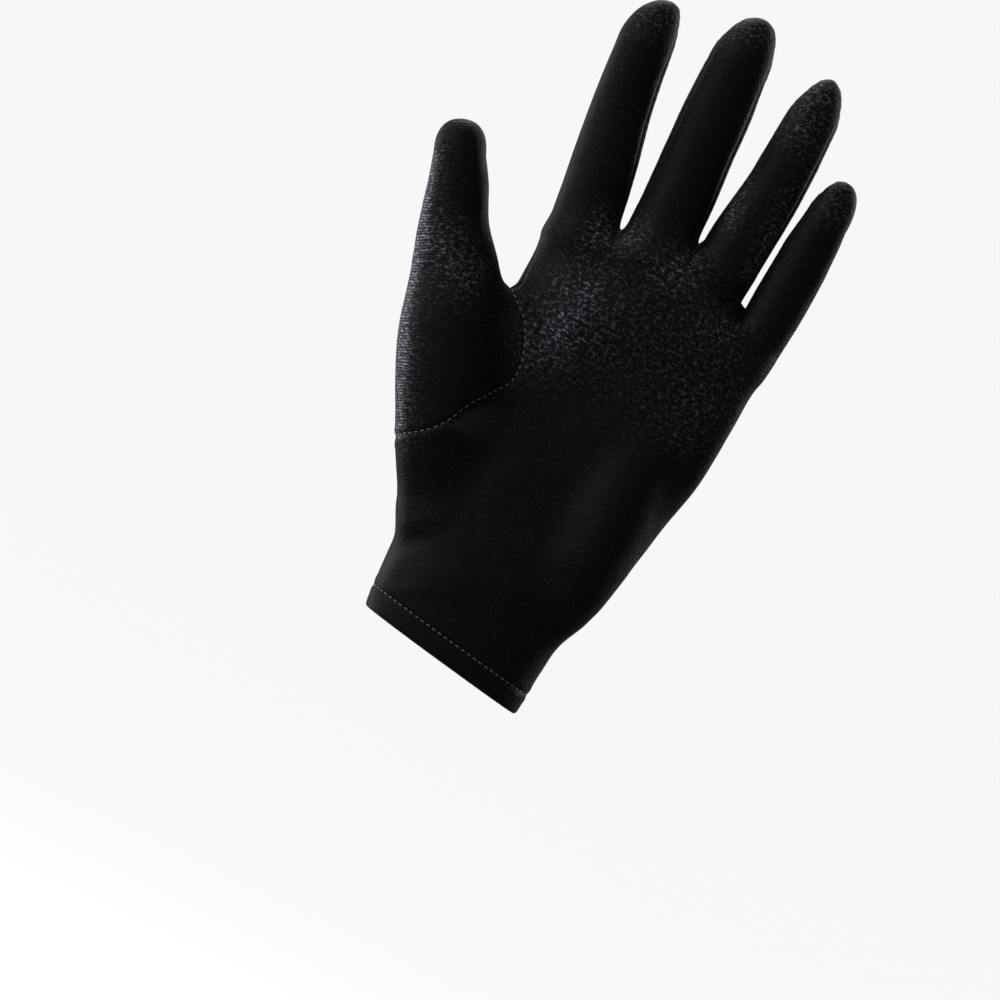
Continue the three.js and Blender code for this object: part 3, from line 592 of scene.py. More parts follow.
@dataclass
class Pattern:
    """Where the seams run over the hand, and how finely each stretch of cloth is divided.

    A row of the palm is counted from 0 at the hem seam over foot_row and web_row, where the thumb's seam
    starts and ends, to top_row at the finger roots. A row of a finger is counted from 0 at its root over
    dome_row, where its rounded end starts, to tip_row. A crotch is looked for from above, by crotch_step,
    down to crotch_low, a share of the palm's length.
    """

    hand: Hand
    hem_height: float = 7
    hem_tilt: float = 10
    left_drop: float = 2
    right_drop: float = 6
    strip_width: float = 8
    quirk_drop: dict[Face, float] = field(default_factory=lambda: {Face.PALM: 8, Face.BACK: 11})
    foot_row: int = 5
    web_row: int = 14
    top_row: int = 17
    dome_row: int = 8
    strip_row: int = 11
    tip_row: int = 13
    strip_taper: float = 4.5
    across_finger: int = 26
    down_body: int = 9
    down_dome: int = 4
    wrist_steps: int = 46
    seam_steps: int = 64
    knuckle_steps: int = 34
    hem_steps: int = 200
    crotch_low: float = 0.8
    crotch_step: float = 0.05
    thumb_seam: dict[Face, tuple[tuple[float, float, float], ...]] = field(default_factory=lambda: {
        Face.PALM: (
            (-0.15, -0.12, 0.371),
            (0.045, -0.9, 0.477),
            (0.161, -0.7, 0.578),
            (0.104, -0.6, 0.7),
            (-0.01, -0.2, 0.745),
        ),
        Face.BACK: (
            (-0.15, -0.12, 0.371),
            (-0.07, 0.3, 0.45),
            (0.01, 0.5, 0.56),
            (0.03, 0.35, 0.67),
            (-0.01, -0.2, 0.745),
        ),
    })

    @cached_property
    def crotches(self) -> list[Array]:
        """Return the highest point of the cloth midway between each two fingers."""
        found = []
        for near, far in zip(self.hand.fingers, self.hand.fingers[1:]):
            top = min(near.foot[2] + near.body, far.foot[2] + far.body)
            z = np.arange(top, self.hand.palm_length * self.crotch_low, -self.crotch_step)
            one = np.ones_like(z)
            right = near.point(np.maximum(z - near.foot[2], 0), 0 * z, one)
            left = far.point(np.maximum(z - far.foot[2], 0), np.pi * one, one)
            middle = (right + left) / 2
            middle[:, 2] = z
            found.append(middle[np.argmax(self.hand.distance(middle) <= 0)])
        return found

    @cached_property
    def quirks(self) -> dict[Face, Array]:
        """Return the pointed ends of the strips, below each crotch on both faces."""
        found = {}
        for face in Face:
            starts = np.array(self.crotches) - (0, 0, self.quirk_drop[face])
            found[face] = self.hand.cast_out(starts, (0, face.value, 0))
        return found

    @cached_property
    def side_corners(self) -> tuple[Array, Array]:
        """Return the points at the sides of the hand where the palm ends and an outer finger starts."""
        index, little = self.hand.fingers[0], self.hand.fingers[-1]
        left = self.hand.cast_out(index.foot * (1, 0, 1) - (0, 0, self.left_drop), (-1, 0, 0))
        right = self.hand.cast_out(little.foot * (1, 0, 1) - (0, 0, self.right_drop), (1, 0, 0))
        return left, right

    def top_corners(self, face: Face) -> Array:
        """Return the corners of the palm's top row, from the thumb's side to the little finger's."""
        left, right = self.side_corners
        return np.vstack([left, self.quirks[face], right])

    def wrist_ring(self, height: Array, angle: Array) -> Array:
        """Return wrist points by height above the hem and angle from the little finger's side."""
        height, angle = np.broadcast_arrays(np.asarray(height, float), np.asarray(angle, float))
        slope = -np.tan(np.radians(self.hem_tilt))
        direction = np.stack([np.cos(angle), np.sin(angle), slope * np.cos(angle)], axis=-1)
        origin = height[..., None] * np.array([0, 0, 1.0])
        return self.hand.cast_out(origin, direction)

    def seam_of_thumb(self, face: Face) -> Array:
        """Return the thumb's seam on one face, from the side of the hand to the web, evenly divided."""
        places = np.array([self.hand.spot(*row) for row in self.thumb_seam[face]])
        seam = self.hand.press(smooth_path(places, self.seam_steps))
        ends = self.hand.press(places[[0, -1]])
        seam[0], seam[-1] = ends
        return seam

    @cached_property
    def palm_rows(self) -> Array:
        """Return the palm's rows: fine steps through the wrist, the thumb's seam and the knuckles."""
        return np.concatenate([
            np.linspace(0, self.foot_row, self.wrist_steps)[:-1],
            np.linspace(self.foot_row, self.web_row, self.seam_steps)[:-1],
            np.linspace(self.web_row, self.top_row, self.knuckle_steps),
        ])

    @cached_property
    def finger_rows(self) -> Array:
        """Return a finger's rows, from its root to its tip."""
        dome = self.tip_row - self.dome_row
        return np.concatenate([
            np.linspace(0, self.dome_row, self.dome_row * self.down_body + 1)[:-1],
            np.linspace(self.dome_row, self.tip_row, dome * self.down_dome + 1),
        ])

    def left_edge(self, face: Face) -> Array:
        """Return the palm's edge at the thumb's side: side seam, thumb's seam, side seam."""
        rows = self.palm_rows
        seam = self.seam_of_thumb(face)
        corner = self.side_corners[0]
        low = self.wrist_ring(self.hem_height, np.pi)
        share = rows[rows < self.foot_row, None] / self.foot_row
        p = mix(low, seam[0], share)
        inside = p * (0, 0, 1)
        wrist = self.hand.cast_out(inside, unit(p - inside))
        share = (rows[rows > self.web_row, None] - self.web_row) / (self.top_row - self.web_row)
        p = mix(seam[-1], corner, share)
        inside = p * (0, 1, 1) + self.hand.fingers[0].foot * (1, 0, 0)
        above = self.hand.cast_out(inside, (-1, 0, 0))
        above[-1] = corner
        return np.vstack([wrist, seam, above])

    def right_edge(self) -> Array:
        """Return the palm's edge at the little finger's side."""
        low, high = self.wrist_ring(self.hem_height, 0), self.side_corners[1]
        z = mix(low[2], high[2], self.palm_rows / self.top_row)
        inside = np.stack([self.hand.palm_section(z)[0], 0 * z, z], axis=-1)
        edge = self.hand.cast_out(inside, (1, 0, 0))
        edge[0], edge[-1] = low, high
        return edge

    def palm_grid(self, face: Face) -> Array:
        """Lay the grid of the palm.

        Each row is cast out from the middle between its two edges, at even angles between the corners of
        the top row. From the web of the thumb up, the rows bend gradually to the line of the quirks.

        Args:
            face: the face of the hand.

        Returns:
            The points, by rows from the hem and by columns from the thumb's side.
        """
        left, right = self.left_edge(face), self.right_edge()
        columns = self.across_finger * len(self.hand.fingers)
        share = np.linspace(0, 1, columns + 1)
        corners = self.top_corners(face)
        middle = (left + right) / 2 * (1, 0, 1)
        inner = corners[1:-1] - middle[-1]
        turn = np.concatenate([[np.pi], np.arctan2(face.value * inner[:, 1], inner[:, 0]), [0]])
        at_corner = np.linspace(0, 1, len(corners))
        turn = np.interp(share, at_corner, turn) / np.pi
        first, last = ((edge - middle) for edge in (right, left))
        low = np.arctan2(face.value * first[:, 1], first[:, 0])
        high = np.arctan2(face.value * last[:, 1], last[:, 0])
        high = np.where(high < 0, high + 2 * np.pi, high)
        angle = mix(low[:, None], high[:, None], turn[None, :])
        slope = (right[:, 2] - left[:, 2]) / (right[:, 0] - left[:, 0])
        direction = unit(np.stack([
            np.cos(angle), face.value * np.sin(angle), slope[:, None] * np.cos(angle),
        ], axis=-1))
        top = np.interp(share, at_corner, corners[:, 2])
        lift = np.zeros_like(top)
        for _ in range(3):
            origin = middle[-1] + lift[:, None] * (0, 0, 1)
            lift = lift + top - self.hand.cast_out(origin, direction[-1])[:, 2]
        climb = np.maximum(self.palm_rows - self.web_row, 0) / (self.top_row - self.web_row)
        origin = middle[:, None, :] + (climb[:, None] * lift)[..., None] * (0, 0, 1)
        grid = self.hand.cast_out(origin, direction)
        grid[0] = self.wrist_ring(self.hem_height, face.value * angle[0])
        grid[:, 0], grid[:, -1] = left, right
        grid[-1, :: self.across_finger] = corners
        return grid

    def strip_angle(self, finger: Limb) -> Array:
        """Return half the angle that a strip takes up on a finger's side, row by row."""
        narrow = np.clip((self.strip_row - self.finger_rows) / self.strip_taper, 0, 1)
        return narrow * self.strip_width / finger.depth

    def climb(self, limb: Limb, start: Array, rows: Array) -> tuple[Array, Array, Array]:
        """Climb a limb row by row.

        Args:
            limb: the limb.
            start: the distance along it at the start.
            rows: the rows.

        Returns:
            The share of the way to the rounded end, the angle over that end and the distance along.
        """
        share = np.clip(rows / self.dome_row, 0, 1)[:, None]
        past = np.maximum(rows - self.dome_row, 0)[:, None] / (self.tip_row - self.dome_row)
        lift = past * np.pi / 2
        return share, lift, mix(start, limb.body, share) + limb.tip * np.sin(lift)

    def grow(self, limb: Limb, starts: Array, angles: Array, rows: Array, settled: Settling = early) -> Array:
        """Carry a line of points up a limb and over its rounded end.

        The distance along runs evenly from what it is at the start. The angle and the share out run to the
        even row's as settled says. Over the rounded end the distance follows a sine and the share out a
        cosine.

        Args:
            limb: the limb.
            starts: the points that it starts from.
            angles: the angles that each row settles to.
            rows: the rows.
            settled: how far the angle and the share out have settled at each share of the way along.

        Returns:
            The points, by rows.
        """
        t0, angle0, out0 = limb.place(starts)
        angle0 = angle0 + 2 * np.pi * np.round((angles[0] - angle0) / (2 * np.pi))
        share, lift, t = self.climb(limb, t0, rows)
        settle = settled(share)
        out = mix(out0, 1, settle) * np.cos(lift)
        points = self.hand.press(limb.point(t, mix(angle0, angles, settle), out))
        points[0] = starts
        return points

    def strip_side(self, index: int, gap: int, starts: Array, across: Array | float) -> Array:
        """Carry points of a strip up the side of a finger, to the strip's point.

        Args:
            index: the finger.
            gap: which gap between two fingers the strip is in.
            starts: the points that it starts from.
            across: their places across the strip, from -1 at the palm to 1 at the back.

        Returns:
            The points, by rows.
        """
        finger = self.hand.fingers[index]
        rows = self.finger_rows[self.finger_rows <= self.strip_row]
        wide = self.strip_angle(finger)[: len(rows), None] * across
        return self.grow(finger, starts, wide if index == gap else np.pi - wide, rows)

    def finger_side(self, index: int, face: Face) -> Array:
        """Return the angle of each column across a finger, row by row, between its two strips."""
        finger = self.hand.fingers[index]
        strip = self.strip_angle(finger)[:, None]
        left = strip if index > 0 else 0 * strip
        right = strip if index < len(self.hand.fingers) - 1 else 0 * strip
        share = np.linspace(0, 1, self.across_finger + 1)
        return face.value * mix(np.pi - left, right, share)


@dataclass
class Seam:
    """A seam line and how the cloth lies along it.

    The cloth dips by groove within reach of the line, rises by puff a little further out, and puckers in
    waves of the given length that sway and fade away from the line. The line is divided by step, and the
    points are taken in batches.
    """

    line: Array
    groove: float
    reach: float
    puff: float = 0.12
    pucker: float = 0
    wave: float = 3
    puff_at: float = 2.6
    puff_spread: float = 1.6
    sway: float = 1.3
    fade: float = 1.5
    step: float = 0.3
    batch: int = 4000

    def lift(self, p: Array) -> Array:
        """Lift the cloth near the seam.

        With d the distance to the line and s the place along it, the lift is a bell of depth groove, plus a
        bell of height puff round puff_at reaches, plus pucker times a sine of s that is 0 at the line itself
        and fades over fade reaches.

        Args:
            p: the points.

        Returns:
            The lift at each point.
        """
        s = travelled(self.line)
        even = np.arange(0, s[-1], self.step)
        line = np.column_stack([np.interp(even, s, self.line[:, axis]) for axis in range(3)])
        near = np.empty(len(p))
        place = np.empty(len(p))
        for part in np.array_split(np.arange(len(p)), max(len(p) // self.batch, 1)):
            square = (p[part] ** 2).sum(1)[:, None] + (line**2).sum(1) - 2 * p[part] @ line.T
            best = square.argmin(1)
            near[part] = np.sqrt(np.maximum(square[np.arange(len(part)), best], 0))
            place[part] = even[best]
        share = near / self.reach
        puff = self.puff * np.exp(-((share - self.puff_at) ** 2) / self.puff_spread)
        waves = np.sin(2 * np.pi * place / self.wave + self.sway * np.sin(place / self.wave))
        pucker = self.pucker * waves * share * np.exp(-share / self.fade)
        return puff - self.groove * np.exp(-(share**2)) + pucker


@dataclass(frozen=True)
class Unevenness:
    """The cloth's soft unevenness: a sum of sine waves in random directions."""

    height: float
    length: float
    waves: int
    seed: int

    def lift(self, p: Array) -> Array:
        """Return the sum at each point, with each wave's share of the height and a random phase."""
        random = np.random.default_rng(self.seed)
        ways = unit(random.normal(size=(self.waves, 3)))
        turns = 2 * np.pi / (self.length * random.uniform(0.7, 1.5, self.waves))
        phase = random.uniform(0, 2 * np.pi, self.waves)
        return self.height * np.sin(p @ (ways * turns[:, None]).T + phase).sum(1) / np.sqrt(self.waves)


@dataclass(frozen=True)
class GlintZone:
    """A painted glint zone: a streak where the satin's threads are painted light and given a metallic gloss,
    to stand for the sparkle that the lights make there; the gloss is real, the light colour is painted
    highlight.

    start and end are x, y and z in millimetres, and reach, in millimetres, is where the zone's strength has
    fallen to a third of strength. Where zones add up to more than 1 they count as 1.
    """

    start: tuple[float, float, float]
    end: tuple[float, float, float]
    reach: float
    strength: float

    def at(self, p: Array) -> Array:
        """Return the painted glint zone's strength at points: a bell over the distance to the line from start
        to end.
        """
        start = np.array(self.start)
        line = np.array(self.end) - start
        share = np.clip((p - start) @ line / (line @ line), 0, 1)
        away = np.linalg.norm(p - start - share[:, None] * line, axis=1) / self.reach
        return self.strength * np.exp(-(away**2))


@dataclass
class Relief:
    """All that lifts the cloth off the hand's form, and the painted glint zones, where the threads are
    painted light to stand for sparkle from the lights.
    """

    hand: Hand
    seams: list[Seam]
    wrinkles: tuple[Fold, ...]
    unevenness: tuple[Unevenness, ...]
    glint_zones: tuple[GlintZone, ...]

    def glint_zone_level(self, p: Array) -> Array:
        """Return the painted glint zones' strength at points, from 0 to 1, as the sum of the zones."""
        return np.clip(sum(glint_patch.at(p) for glint_patch in self.glint_zones), 0, 1)

    def raise_cloth(self, p: Array, normals: Array) -> Array:
        """Return points of the outer face moved along their normals by the sum of all lifts."""
        lift = sum(part.lift(p) for part in (*self.seams, *self.unevenness))
        lift = lift + sum(self.hand.fold_lift(fold, p) for fold in self.wrinkles)
        return p + lift[:, None] * normals


def two_each(a: Array, b: Array, c: Array, d: Array) -> Array:
    """Return the two triangles of each cell whose corners go round from a to d."""
    return np.concatenate([np.stack([a, b, c], -1), np.stack([a, c, d], -1)]).reshape(-1, 3)


def whole(triangles: Array) -> Array:
    """Return which triangles have three different corners."""
    return (triangles != np.roll(triangles, 1, axis=1)).all(1)


class Cloth:
    """A closed piece of cloth, put together from grids that share their edges.

    The cloth's map gives each point its place on the flat cloth in millimetres, across and along the grain.
    """

    def __init__(self, relief: Relief) -> None:
        """Start a piece with no grids."""
        self.relief = relief
        self.points: list[Array] = []
        self.maps: list[Array] = []
        self.faces: list[Array] = []

    def add(self, grid: Array, across_along: Array, flip: bool) -> None:
        """Add a grid.

        Args:
            grid: points by rows and columns.
            across_along: the same points on the flat cloth.
            flip: whether the grid's own faces look inwards.
        """
        rows, columns = grid.shape[:2]
        start = sum(len(part) for part in self.points)
        ids = start + np.arange(rows * columns).reshape(rows, columns)
        a, b, c, d = ids[:-1, :-1], ids[:-1, 1:], ids[1:, 1:], ids[1:, :-1]
        faces = two_each(a, b, c, d)
        self.faces.append(faces[:, ::-1] if flip else faces)
        self.points.append(grid.reshape(-1, 3))
        self.maps.append(across_along.reshape(-1, 2))

    def close(self, wall: float, inset: float) -> tuple[Array, Array, Array, Array, Array]:
        """Merge the grids' shared points and give the cloth its wall.

        The border is drawn in by the inset, square to itself in the cloth. The inner face is the outer one
        moved in by the wall, and a rim joins the two along the border.

        Args:
            wall: the cloth's thickness.
            inset: half the gap that is left along a seam.

        Returns:
            The points, the triangles, each corner's place on the flat cloth, each triangle's smoothness and
            each point's painted glint zone strength.
        """
        points = np.concatenate(self.points)
        corners = np.concatenate(self.faces)
        _, first, ids = np.unique(np.round(points, 3), axis=0, return_index=True, return_inverse=True)
        points, ids = points[first], ids.reshape(-1)
        faces = ids[corners]
        real = whole(faces)
        faces, flat = faces[real], np.concatenate(self.maps)[corners[real]]
        edges = np.concatenate([faces[:, [0, 1]], faces[:, [1, 2]], faces[:, [2, 0]]])
        count = len(points)
        there, back = edges[:, 0] * count + edges[:, 1], edges[:, 1] * count + edges[:, 0]
        rim = ~np.isin(there, back)
        border = edges[rim]
        flat_edge = np.concatenate([flat[:, [0, 1]], flat[:, [1, 2]], flat[:, [2, 0]]])[rim]
        normals = self.relief.hand.normals(points)
        run = points[border[:, 1]] - points[border[:, 0]]
        inward = np.zeros_like(points)
        for end in (0, 1):
            np.add.at(inward, border[:, end], unit(np.cross(normals[border[:, end]], run)))
        moved = points + inset * unit(inward) * (np.linalg.norm(inward, axis=1, keepdims=True) > 0)
        outer = self.relief.raise_cloth(moved, normals)
        s, e = border.T
        rims = two_each(s, s + count, e + count, e)
        flat_rims = np.concatenate([flat_edge[:, [0, 0, 1]], flat_edge[:, [0, 1, 1]]])
        smooth = np.concatenate([np.ones(2 * len(faces), bool), np.zeros(len(rims), bool)])
        return (
            np.concatenate([outer, outer - wall * normals]),
            np.concatenate([faces, faces[:, ::-1] + count, rims]),
            np.concatenate([flat, flat[:, ::-1], flat_rims]),
            smooth,
            np.tile(self.relief.glint_zone_level(points), 2),
        )


def put_in_scene(
    name: str, points: Array, faces: Array, flat: Array | None, smooth: Array, glint_zone: Array | None = None
) -> bpy.types.Object:
    """Make an object at the origin from triangles.

    Args:
        name: its name.
        points: the points, in millimetres.
        faces: the triangles.
        flat: each corner's place on the flat cloth, in millimetres, or None.
        smooth: whether each triangle is shaded smoothly.
        glint_zone: the strength of the painted glint zones at each point, where the threads are painted light
            to stand for sparkle from the lights, or None.

    Returns:
        The object, which rides on the glove's body.
    """
    mesh = bpy.data.meshes.new(name)
    mesh.from_pydata((points * METRES).tolist(), [], faces.tolist())
    mesh.polygons.foreach_set("use_smooth", smooth)
    if flat is not None:
        layer = mesh.uv_layers.new(name=MAP)
        layer.data.foreach_set("uv", flat.reshape(-1).astype(np.float32))
    if glint_zone is not None:
        mesh.attributes.new(GLINT_ZONE, "FLOAT", "POINT").data.foreach_set("value", glint_zone.astype(np.float32))
    mesh.update()
    piece = bpy.data.objects.new(name, mesh)
    bpy.context.scene.collection.objects.link(piece)
    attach(piece, BODY)
    LOG.info("%s: %d triangles", name, len(faces))
    return piece


class Socket:
    """An output of a node. Arithmetic on it adds Math nodes."""

    def __init__(self, web: "NodeWeb", link: bpy.types.NodeSocket) -> None:
        """Wrap an output socket of a node web."""
        self.web = web
        self.link = link

    def math(self, operation: str, *values: "Socket | float") -> "Socket":
        """Return the result of a Math node on this value and others."""
        return self.web.add("ShaderNodeMath", {"operation": operation}, dict(enumerate((self, *values))))

    def __add__(self, other: "Socket | float") -> "Socket":
        """Return the sum."""
        return self.math("ADD", other)

    __radd__ = __add__

    def __sub__(self, other: "Socket | float") -> "Socket":
        """Return the difference."""
        return self.math("SUBTRACT", other)

    def __rsub__(self, other: float) -> "Socket":
        """Return a number less this value."""
        return self.web.add("ShaderNodeMath", {"operation": "SUBTRACT"}, {0: other, 1: self})

    def __mul__(self, other: "Socket | float") -> "Socket":
        """Return the product."""
        return self.math("MULTIPLY", other)

    __rmul__ = __mul__

    def __truediv__(self, other: "Socket | float") -> "Socket":
        """Return the quotient."""
        return self.math("DIVIDE", other)

    def __pow__(self, other: "Socket | float") -> "Socket":
        """Return the power."""
        return self.math("POWER", other)

    def wave(self) -> "Socket":
        """Return a wave from 0 to 1 of this number of turns."""
        return self.math("MULTIPLY", 2 * np.pi).math("SINE") * 0.5 + 0.5

    def between(self, low: float, high: float) -> "Socket":
        """Return 0 below low, 1 above high and a smooth step between."""
        settings = {"interpolation_type": "SMOOTHSTEP"}
        inputs = {"Value": self, "From Min": low, "From Max": high}
        return self.web.add("ShaderNodeMapRange", settings, inputs)


class NodeWeb:
    """A material's nodes."""

    def __init__(self, name: str) -> None:
        """Start a material with its output node."""
        self.material = bpy.data.materials.new(name)
        self.material.use_nodes = True
        self.tree = self.material.node_tree
        self.tree.nodes.clear()
        self.output = self.tree.nodes.new("ShaderNodeOutputMaterial")

    def add(self, kind: str, settings: dict, inputs: dict, output: int | str = 0) -> Socket:
        """Add a node.

        Args:
            kind: its type.
            settings: its own properties, which are set first.
            inputs: values or sockets for its inputs, by name or number.
            output: the output that is wanted.

        Returns:
            That output.
        """
        node = self.tree.nodes.new(kind)
        for key, value in settings.items():
            setattr(node, key, value)
        for key, value in inputs.items():
            if isinstance(value, Socket):
                self.tree.links.new(value.link, node.inputs[key])
            else:
                node.inputs[key].default_value = value
        return Socket(self, node.outputs[output])

    def split(self, vector: Socket) -> list[Socket]:
        """Return a vector's three numbers."""
        node = self.add("ShaderNodeSeparateXYZ", {}, {0: vector}).link.node
        return [Socket(self, output) for output in node.outputs]

    def noise(self, place: Socket, scale: float, detail: float = 2.0, roughness: float = 0.5) -> Socket:
        """Return a flat noise from 0 to 1."""
        inputs = {"Vector": place, "Scale": scale, "Detail": detail, "Roughness": roughness}
        return self.add("ShaderNodeTexNoise", {"noise_dimensions": "2D"}, inputs)

    def colours(self, factor: Socket, dark: Sequence[float], light: Sequence[float]) -> Socket:
        """Return a mix of two colours by a factor."""
        inputs = {0: factor, 6: (*dark, 1), 7: (*light, 1)}
        return self.add("ShaderNodeMix", {"data_type": "RGBA"}, inputs, 2)

    def finish(self, inputs: dict) -> bpy.types.Material:
        """Return the material, with a Principled shader of these inputs at its output."""
        shader = self.add("ShaderNodeBsdfPrincipled", {}, inputs)
        self.tree.links.new(shader.link, self.output.inputs["Surface"])
        return self.material


@dataclass(frozen=True)
class Satin:
    """Black stretch satin: a fine knit, dark where it faces the eye, with single threads that spark; the
    sparks are partly real gloss and partly painted highlight, the threads being painted in a light colour.

    course and wale are the pitches of the rows and of the loops in a row, in millimetres. rib and tilt say
    how strongly the rows and the single threads stand out, rib_sheen_strength how brightly the rows are
    painted as a highlight inside the painted glint zones, and relief is the whole height, in metres. The
    scales belong to the noises. drift is how far a row wanders, in rows, and stretch draws the noises out
    across the grain. Each band runs from where its effect starts to where it is full. plain_spark and
    glint_zone_spark are how strongly the threads spark everywhere and inside the painted glint zones. thread
    is the light colour that the sparking threads are painted, a painted glint.
    """

    slot: Slot
    dark: tuple[float, float, float] = (0.0048, 0.0036, 0.0050)
    # Light colour of the sparking threads: a painted glint, partly made real by the metallic gloss.
    thread: tuple[float, float, float] = (0.60, 0.55, 0.66)
    course: float = 0.9
    wale: float = 0.75
    rib: float = 0.10
    tilt: float = 1.0
    # How brightly the rows are painted as a highlight inside the painted glint zones.
    rib_sheen_strength: float = 0.10
    relief: float = 0.00018
    roughness: float = 0.50
    specular: float = 0.08
    sheen: float = 0.10
    sheen_roughness: float = 0.28
    sheen_tint: tuple[float, float, float] = (0.84, 0.77, 0.95)
    drift: float = 1.2
    stretch: float = 1.5
    drift_scale: float = 0.09
    glint_scale: float = 0.8
    fine_scale: float = 1.7
    spark_scale: float = 0.62
    patch_scale: float = 0.22
    glint_height: float = 0.9
    fine_height: float = 0.8
    spark_band: tuple[float, float] = (0.38, 0.82)
    rib_sheen_band: tuple[float, float] = (0.25, 0.75)
    # Where the painted glint zones start and where they are full.
    glint_zone_band: tuple[float, float] = (0.55, 1.05)
    # Spark strength everywhere and inside the painted glint zones; sparks are painted light in Base Color.
    plain_spark: float = 0.02
    glint_zone_spark: float = 0.8
    least_patch: float = 0.3
    metal: float = 0.5
    polish: float = 0.14
    uneven_gloss: float = 0.1

    def material(self) -> bpy.types.Material:
        """Make the material.

        The height is the sum of a wave along the grain, a wave across it that swaps from row to row, and
        noises drawn out across the grain, whose random tilts make the glints. Another noise picks out the
        threads that spark, which are painted in a light colour and made partly metallic: a painted glint with
        real gloss, more of them inside the painted glint zones.

        Returns:
            The material, which reads the piece's own map of the flat cloth and its painted glint zones.
        """
        web = NodeWeb(self.slot.value)
        flat = web.add("ShaderNodeUVMap", {"uv_map": MAP}, {})
        across, along, _ = web.split(flat)
        # The painted glint zones, where sparks and rib sheen are painted.
        glint_zone = web.add("ShaderNodeAttribute", {"attribute_name": GLINT_ZONE}, {}, "Fac")
        drift = (web.noise(flat, self.drift_scale) - 0.5) * self.drift
        row = along / self.course + drift
        loop = across / self.wale + row.math("FLOOR") * 0.5 + drift
        draw = {0: flat, 1: (1.0, self.stretch, 1.0)}
        stretched = web.add("ShaderNodeVectorMath", {"operation": "MULTIPLY"}, draw)
        glint = web.noise(stretched, self.glint_scale, 1.0)
        fine = web.noise(stretched, self.fine_scale, 1.0)
        loops = row.wave() * self.rib + loop.wave() * (self.rib * 0.5)
        height = loops + (glint * self.glint_height + fine * self.fine_height) * self.tilt
        bump = web.add("ShaderNodeBump", {}, {"Strength": 1.0, "Distance": self.relief, "Height": height})
        spark = web.noise(stretched, self.spark_scale, 3.0, 0.8)
        patch = web.noise(flat, self.patch_scale)
        # Painted rib sheen: rows painted bright inside the glint zones, standing for light catching the ribs.
        rib_sheen_mask = row.wave() ** 2.0 * glint_zone.between(*self.glint_zone_band) * spark.between(*self.rib_sheen_band)
        often = glint_zone * (patch + self.least_patch) * self.glint_zone_spark + self.plain_spark
        # Painted glint: sparking threads get the light thread colour and metallic gloss, most inside the
        # painted glint zones.
        glint_mask = spark.between(*self.spark_band) ** 2.0 * often + rib_sheen_mask * self.rib_sheen_strength
        return web.finish({
            "Base Color": web.colours(glint_mask, self.dark, self.thread),
            "Metallic": glint_mask * self.metal,
            "Roughness": self.roughness - glint_mask * self.polish + (0.5 - glint) * self.uneven_gloss,
            "Normal": bump,
            "Specular IOR Level": self.specular,
            "Sheen Weight": self.sheen,
            "Sheen Roughness": self.sheen_roughness,
            "Sheen Tint": (*self.sheen_tint, 1),
        })


@dataclass(frozen=True)
class Thread:
    """Black sewing thread with a soft gloss and fine twist."""

    colour: tuple[float, float, float] = (0.13, 0.12, 0.14)
    roughness: float = 0.42
    twist: float = 2600
    fuzz: float = 900
    strength: float = 0.6
    relief: float = 0.00004
    uneven_gloss: float = 0.12

    def material(self) -> bpy.types.Material:
        """Return the material, whose twist is a wave in object coordinates."""
        web = NodeWeb("thread")
        place = web.add("ShaderNodeTexCoord", {}, {}, "Object")
        across, _, up = web.split(place)
        wave = ((across + up) * self.twist).wave()
        noise = web.add("ShaderNodeTexNoise", {}, {"Vector": place, "Scale": self.fuzz})
        twist = {"Strength": self.strength, "Distance": self.relief, "Height": wave}
        bump = web.add("ShaderNodeBump", {}, twist)
        bright = tuple(2 * value for value in self.colour)
        return web.finish({
            "Base Color": web.colours(noise, self.colour, bright),
            "Roughness": self.roughness + noise * self.uneven_gloss,
            "Normal": bump,
        })


@dataclass(frozen=True)
class Backdrop:
    """The pale floor, which lights itself a little so that it stays even."""

    colour: tuple[float, float, float] = (0.12, 0.12, 0.12)
    glow: float = 0.9

    def material(self) -> bpy.types.Material:
        """Return the material."""
        web = NodeWeb("backdrop")
        glow = {"Emission Color": (1, 1, 1, 1), "Emission Strength": self.glow}
        return web.finish({"Base Color": (*self.colour, 1), "Roughness": 1.0, **glow})


@dataclass(kw_only=True)
class SewnPiece:
    """What the pieces of cloth share. The flat size is in metres and the flat area in square metres."""

    pattern: Pattern
    relief: Relief
    wall: float = 0.9
    inset: float = 0.05
    flat_size: tuple[float, float]
    flat_area: float

    def sew(self, cloth: Cloth, name: str, node: str) -> bpy.types.Object:
        """Close the cloth and put it in the scene in the place of a node."""
        piece = put_in_scene(name, *cloth.close(self.wall, self.inset))
        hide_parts(node)
        return piece


@dataclass(kw_only=True)
class Trank(SewnPiece):
    """One face of the hand in one piece: the palm or the back, with its side of the four fingers."""

    face: Face
    flat_size: tuple[float, float] = (0.105, 0.235)
    flat_area: float = 0.0165

    def build(self) -> bpy.types.Object:
        """Build the piece.

        The flat map measures across from the middle finger's column, along each row, and along the grain
        by height on the palm and by distance along the axis on a finger.

        Returns:
            The piece.
        """
        pattern, face = self.pattern, self.face
        cloth = Cloth(self.relief)
        flip = face is Face.BACK
        grid = pattern.palm_grid(face)
        middle = 3 * pattern.across_finger // 2
        across = along_rows(grid)
        across = across - across[:, [middle]] + grid[:, [middle], 0]
        cloth.add(grid, np.stack([across, grid[..., 2]], -1), flip)
        for index, finger in enumerate(pattern.hand.fingers):
            columns = slice(index * pattern.across_finger, (index + 1) * pattern.across_finger + 1)
            starts = grid[-1, columns]
            angles = pattern.finger_side(index, face)
            limb = pattern.grow(finger, starts, angles, pattern.finger_rows)
            limb[-1] = limb[-1].mean(0)
            steps = along_rows(limb)
            centre = pattern.across_finger // 2
            own = steps - steps[:, [centre]] + across[-1, columns][centre]
            up = travelled(limb) + starts[:, 2]
            cloth.add(limb, np.stack([own, up], -1), flip)
        name = face.name.lower()
        return self.sew(cloth, f"{name}_satin", f"{name}_panel")


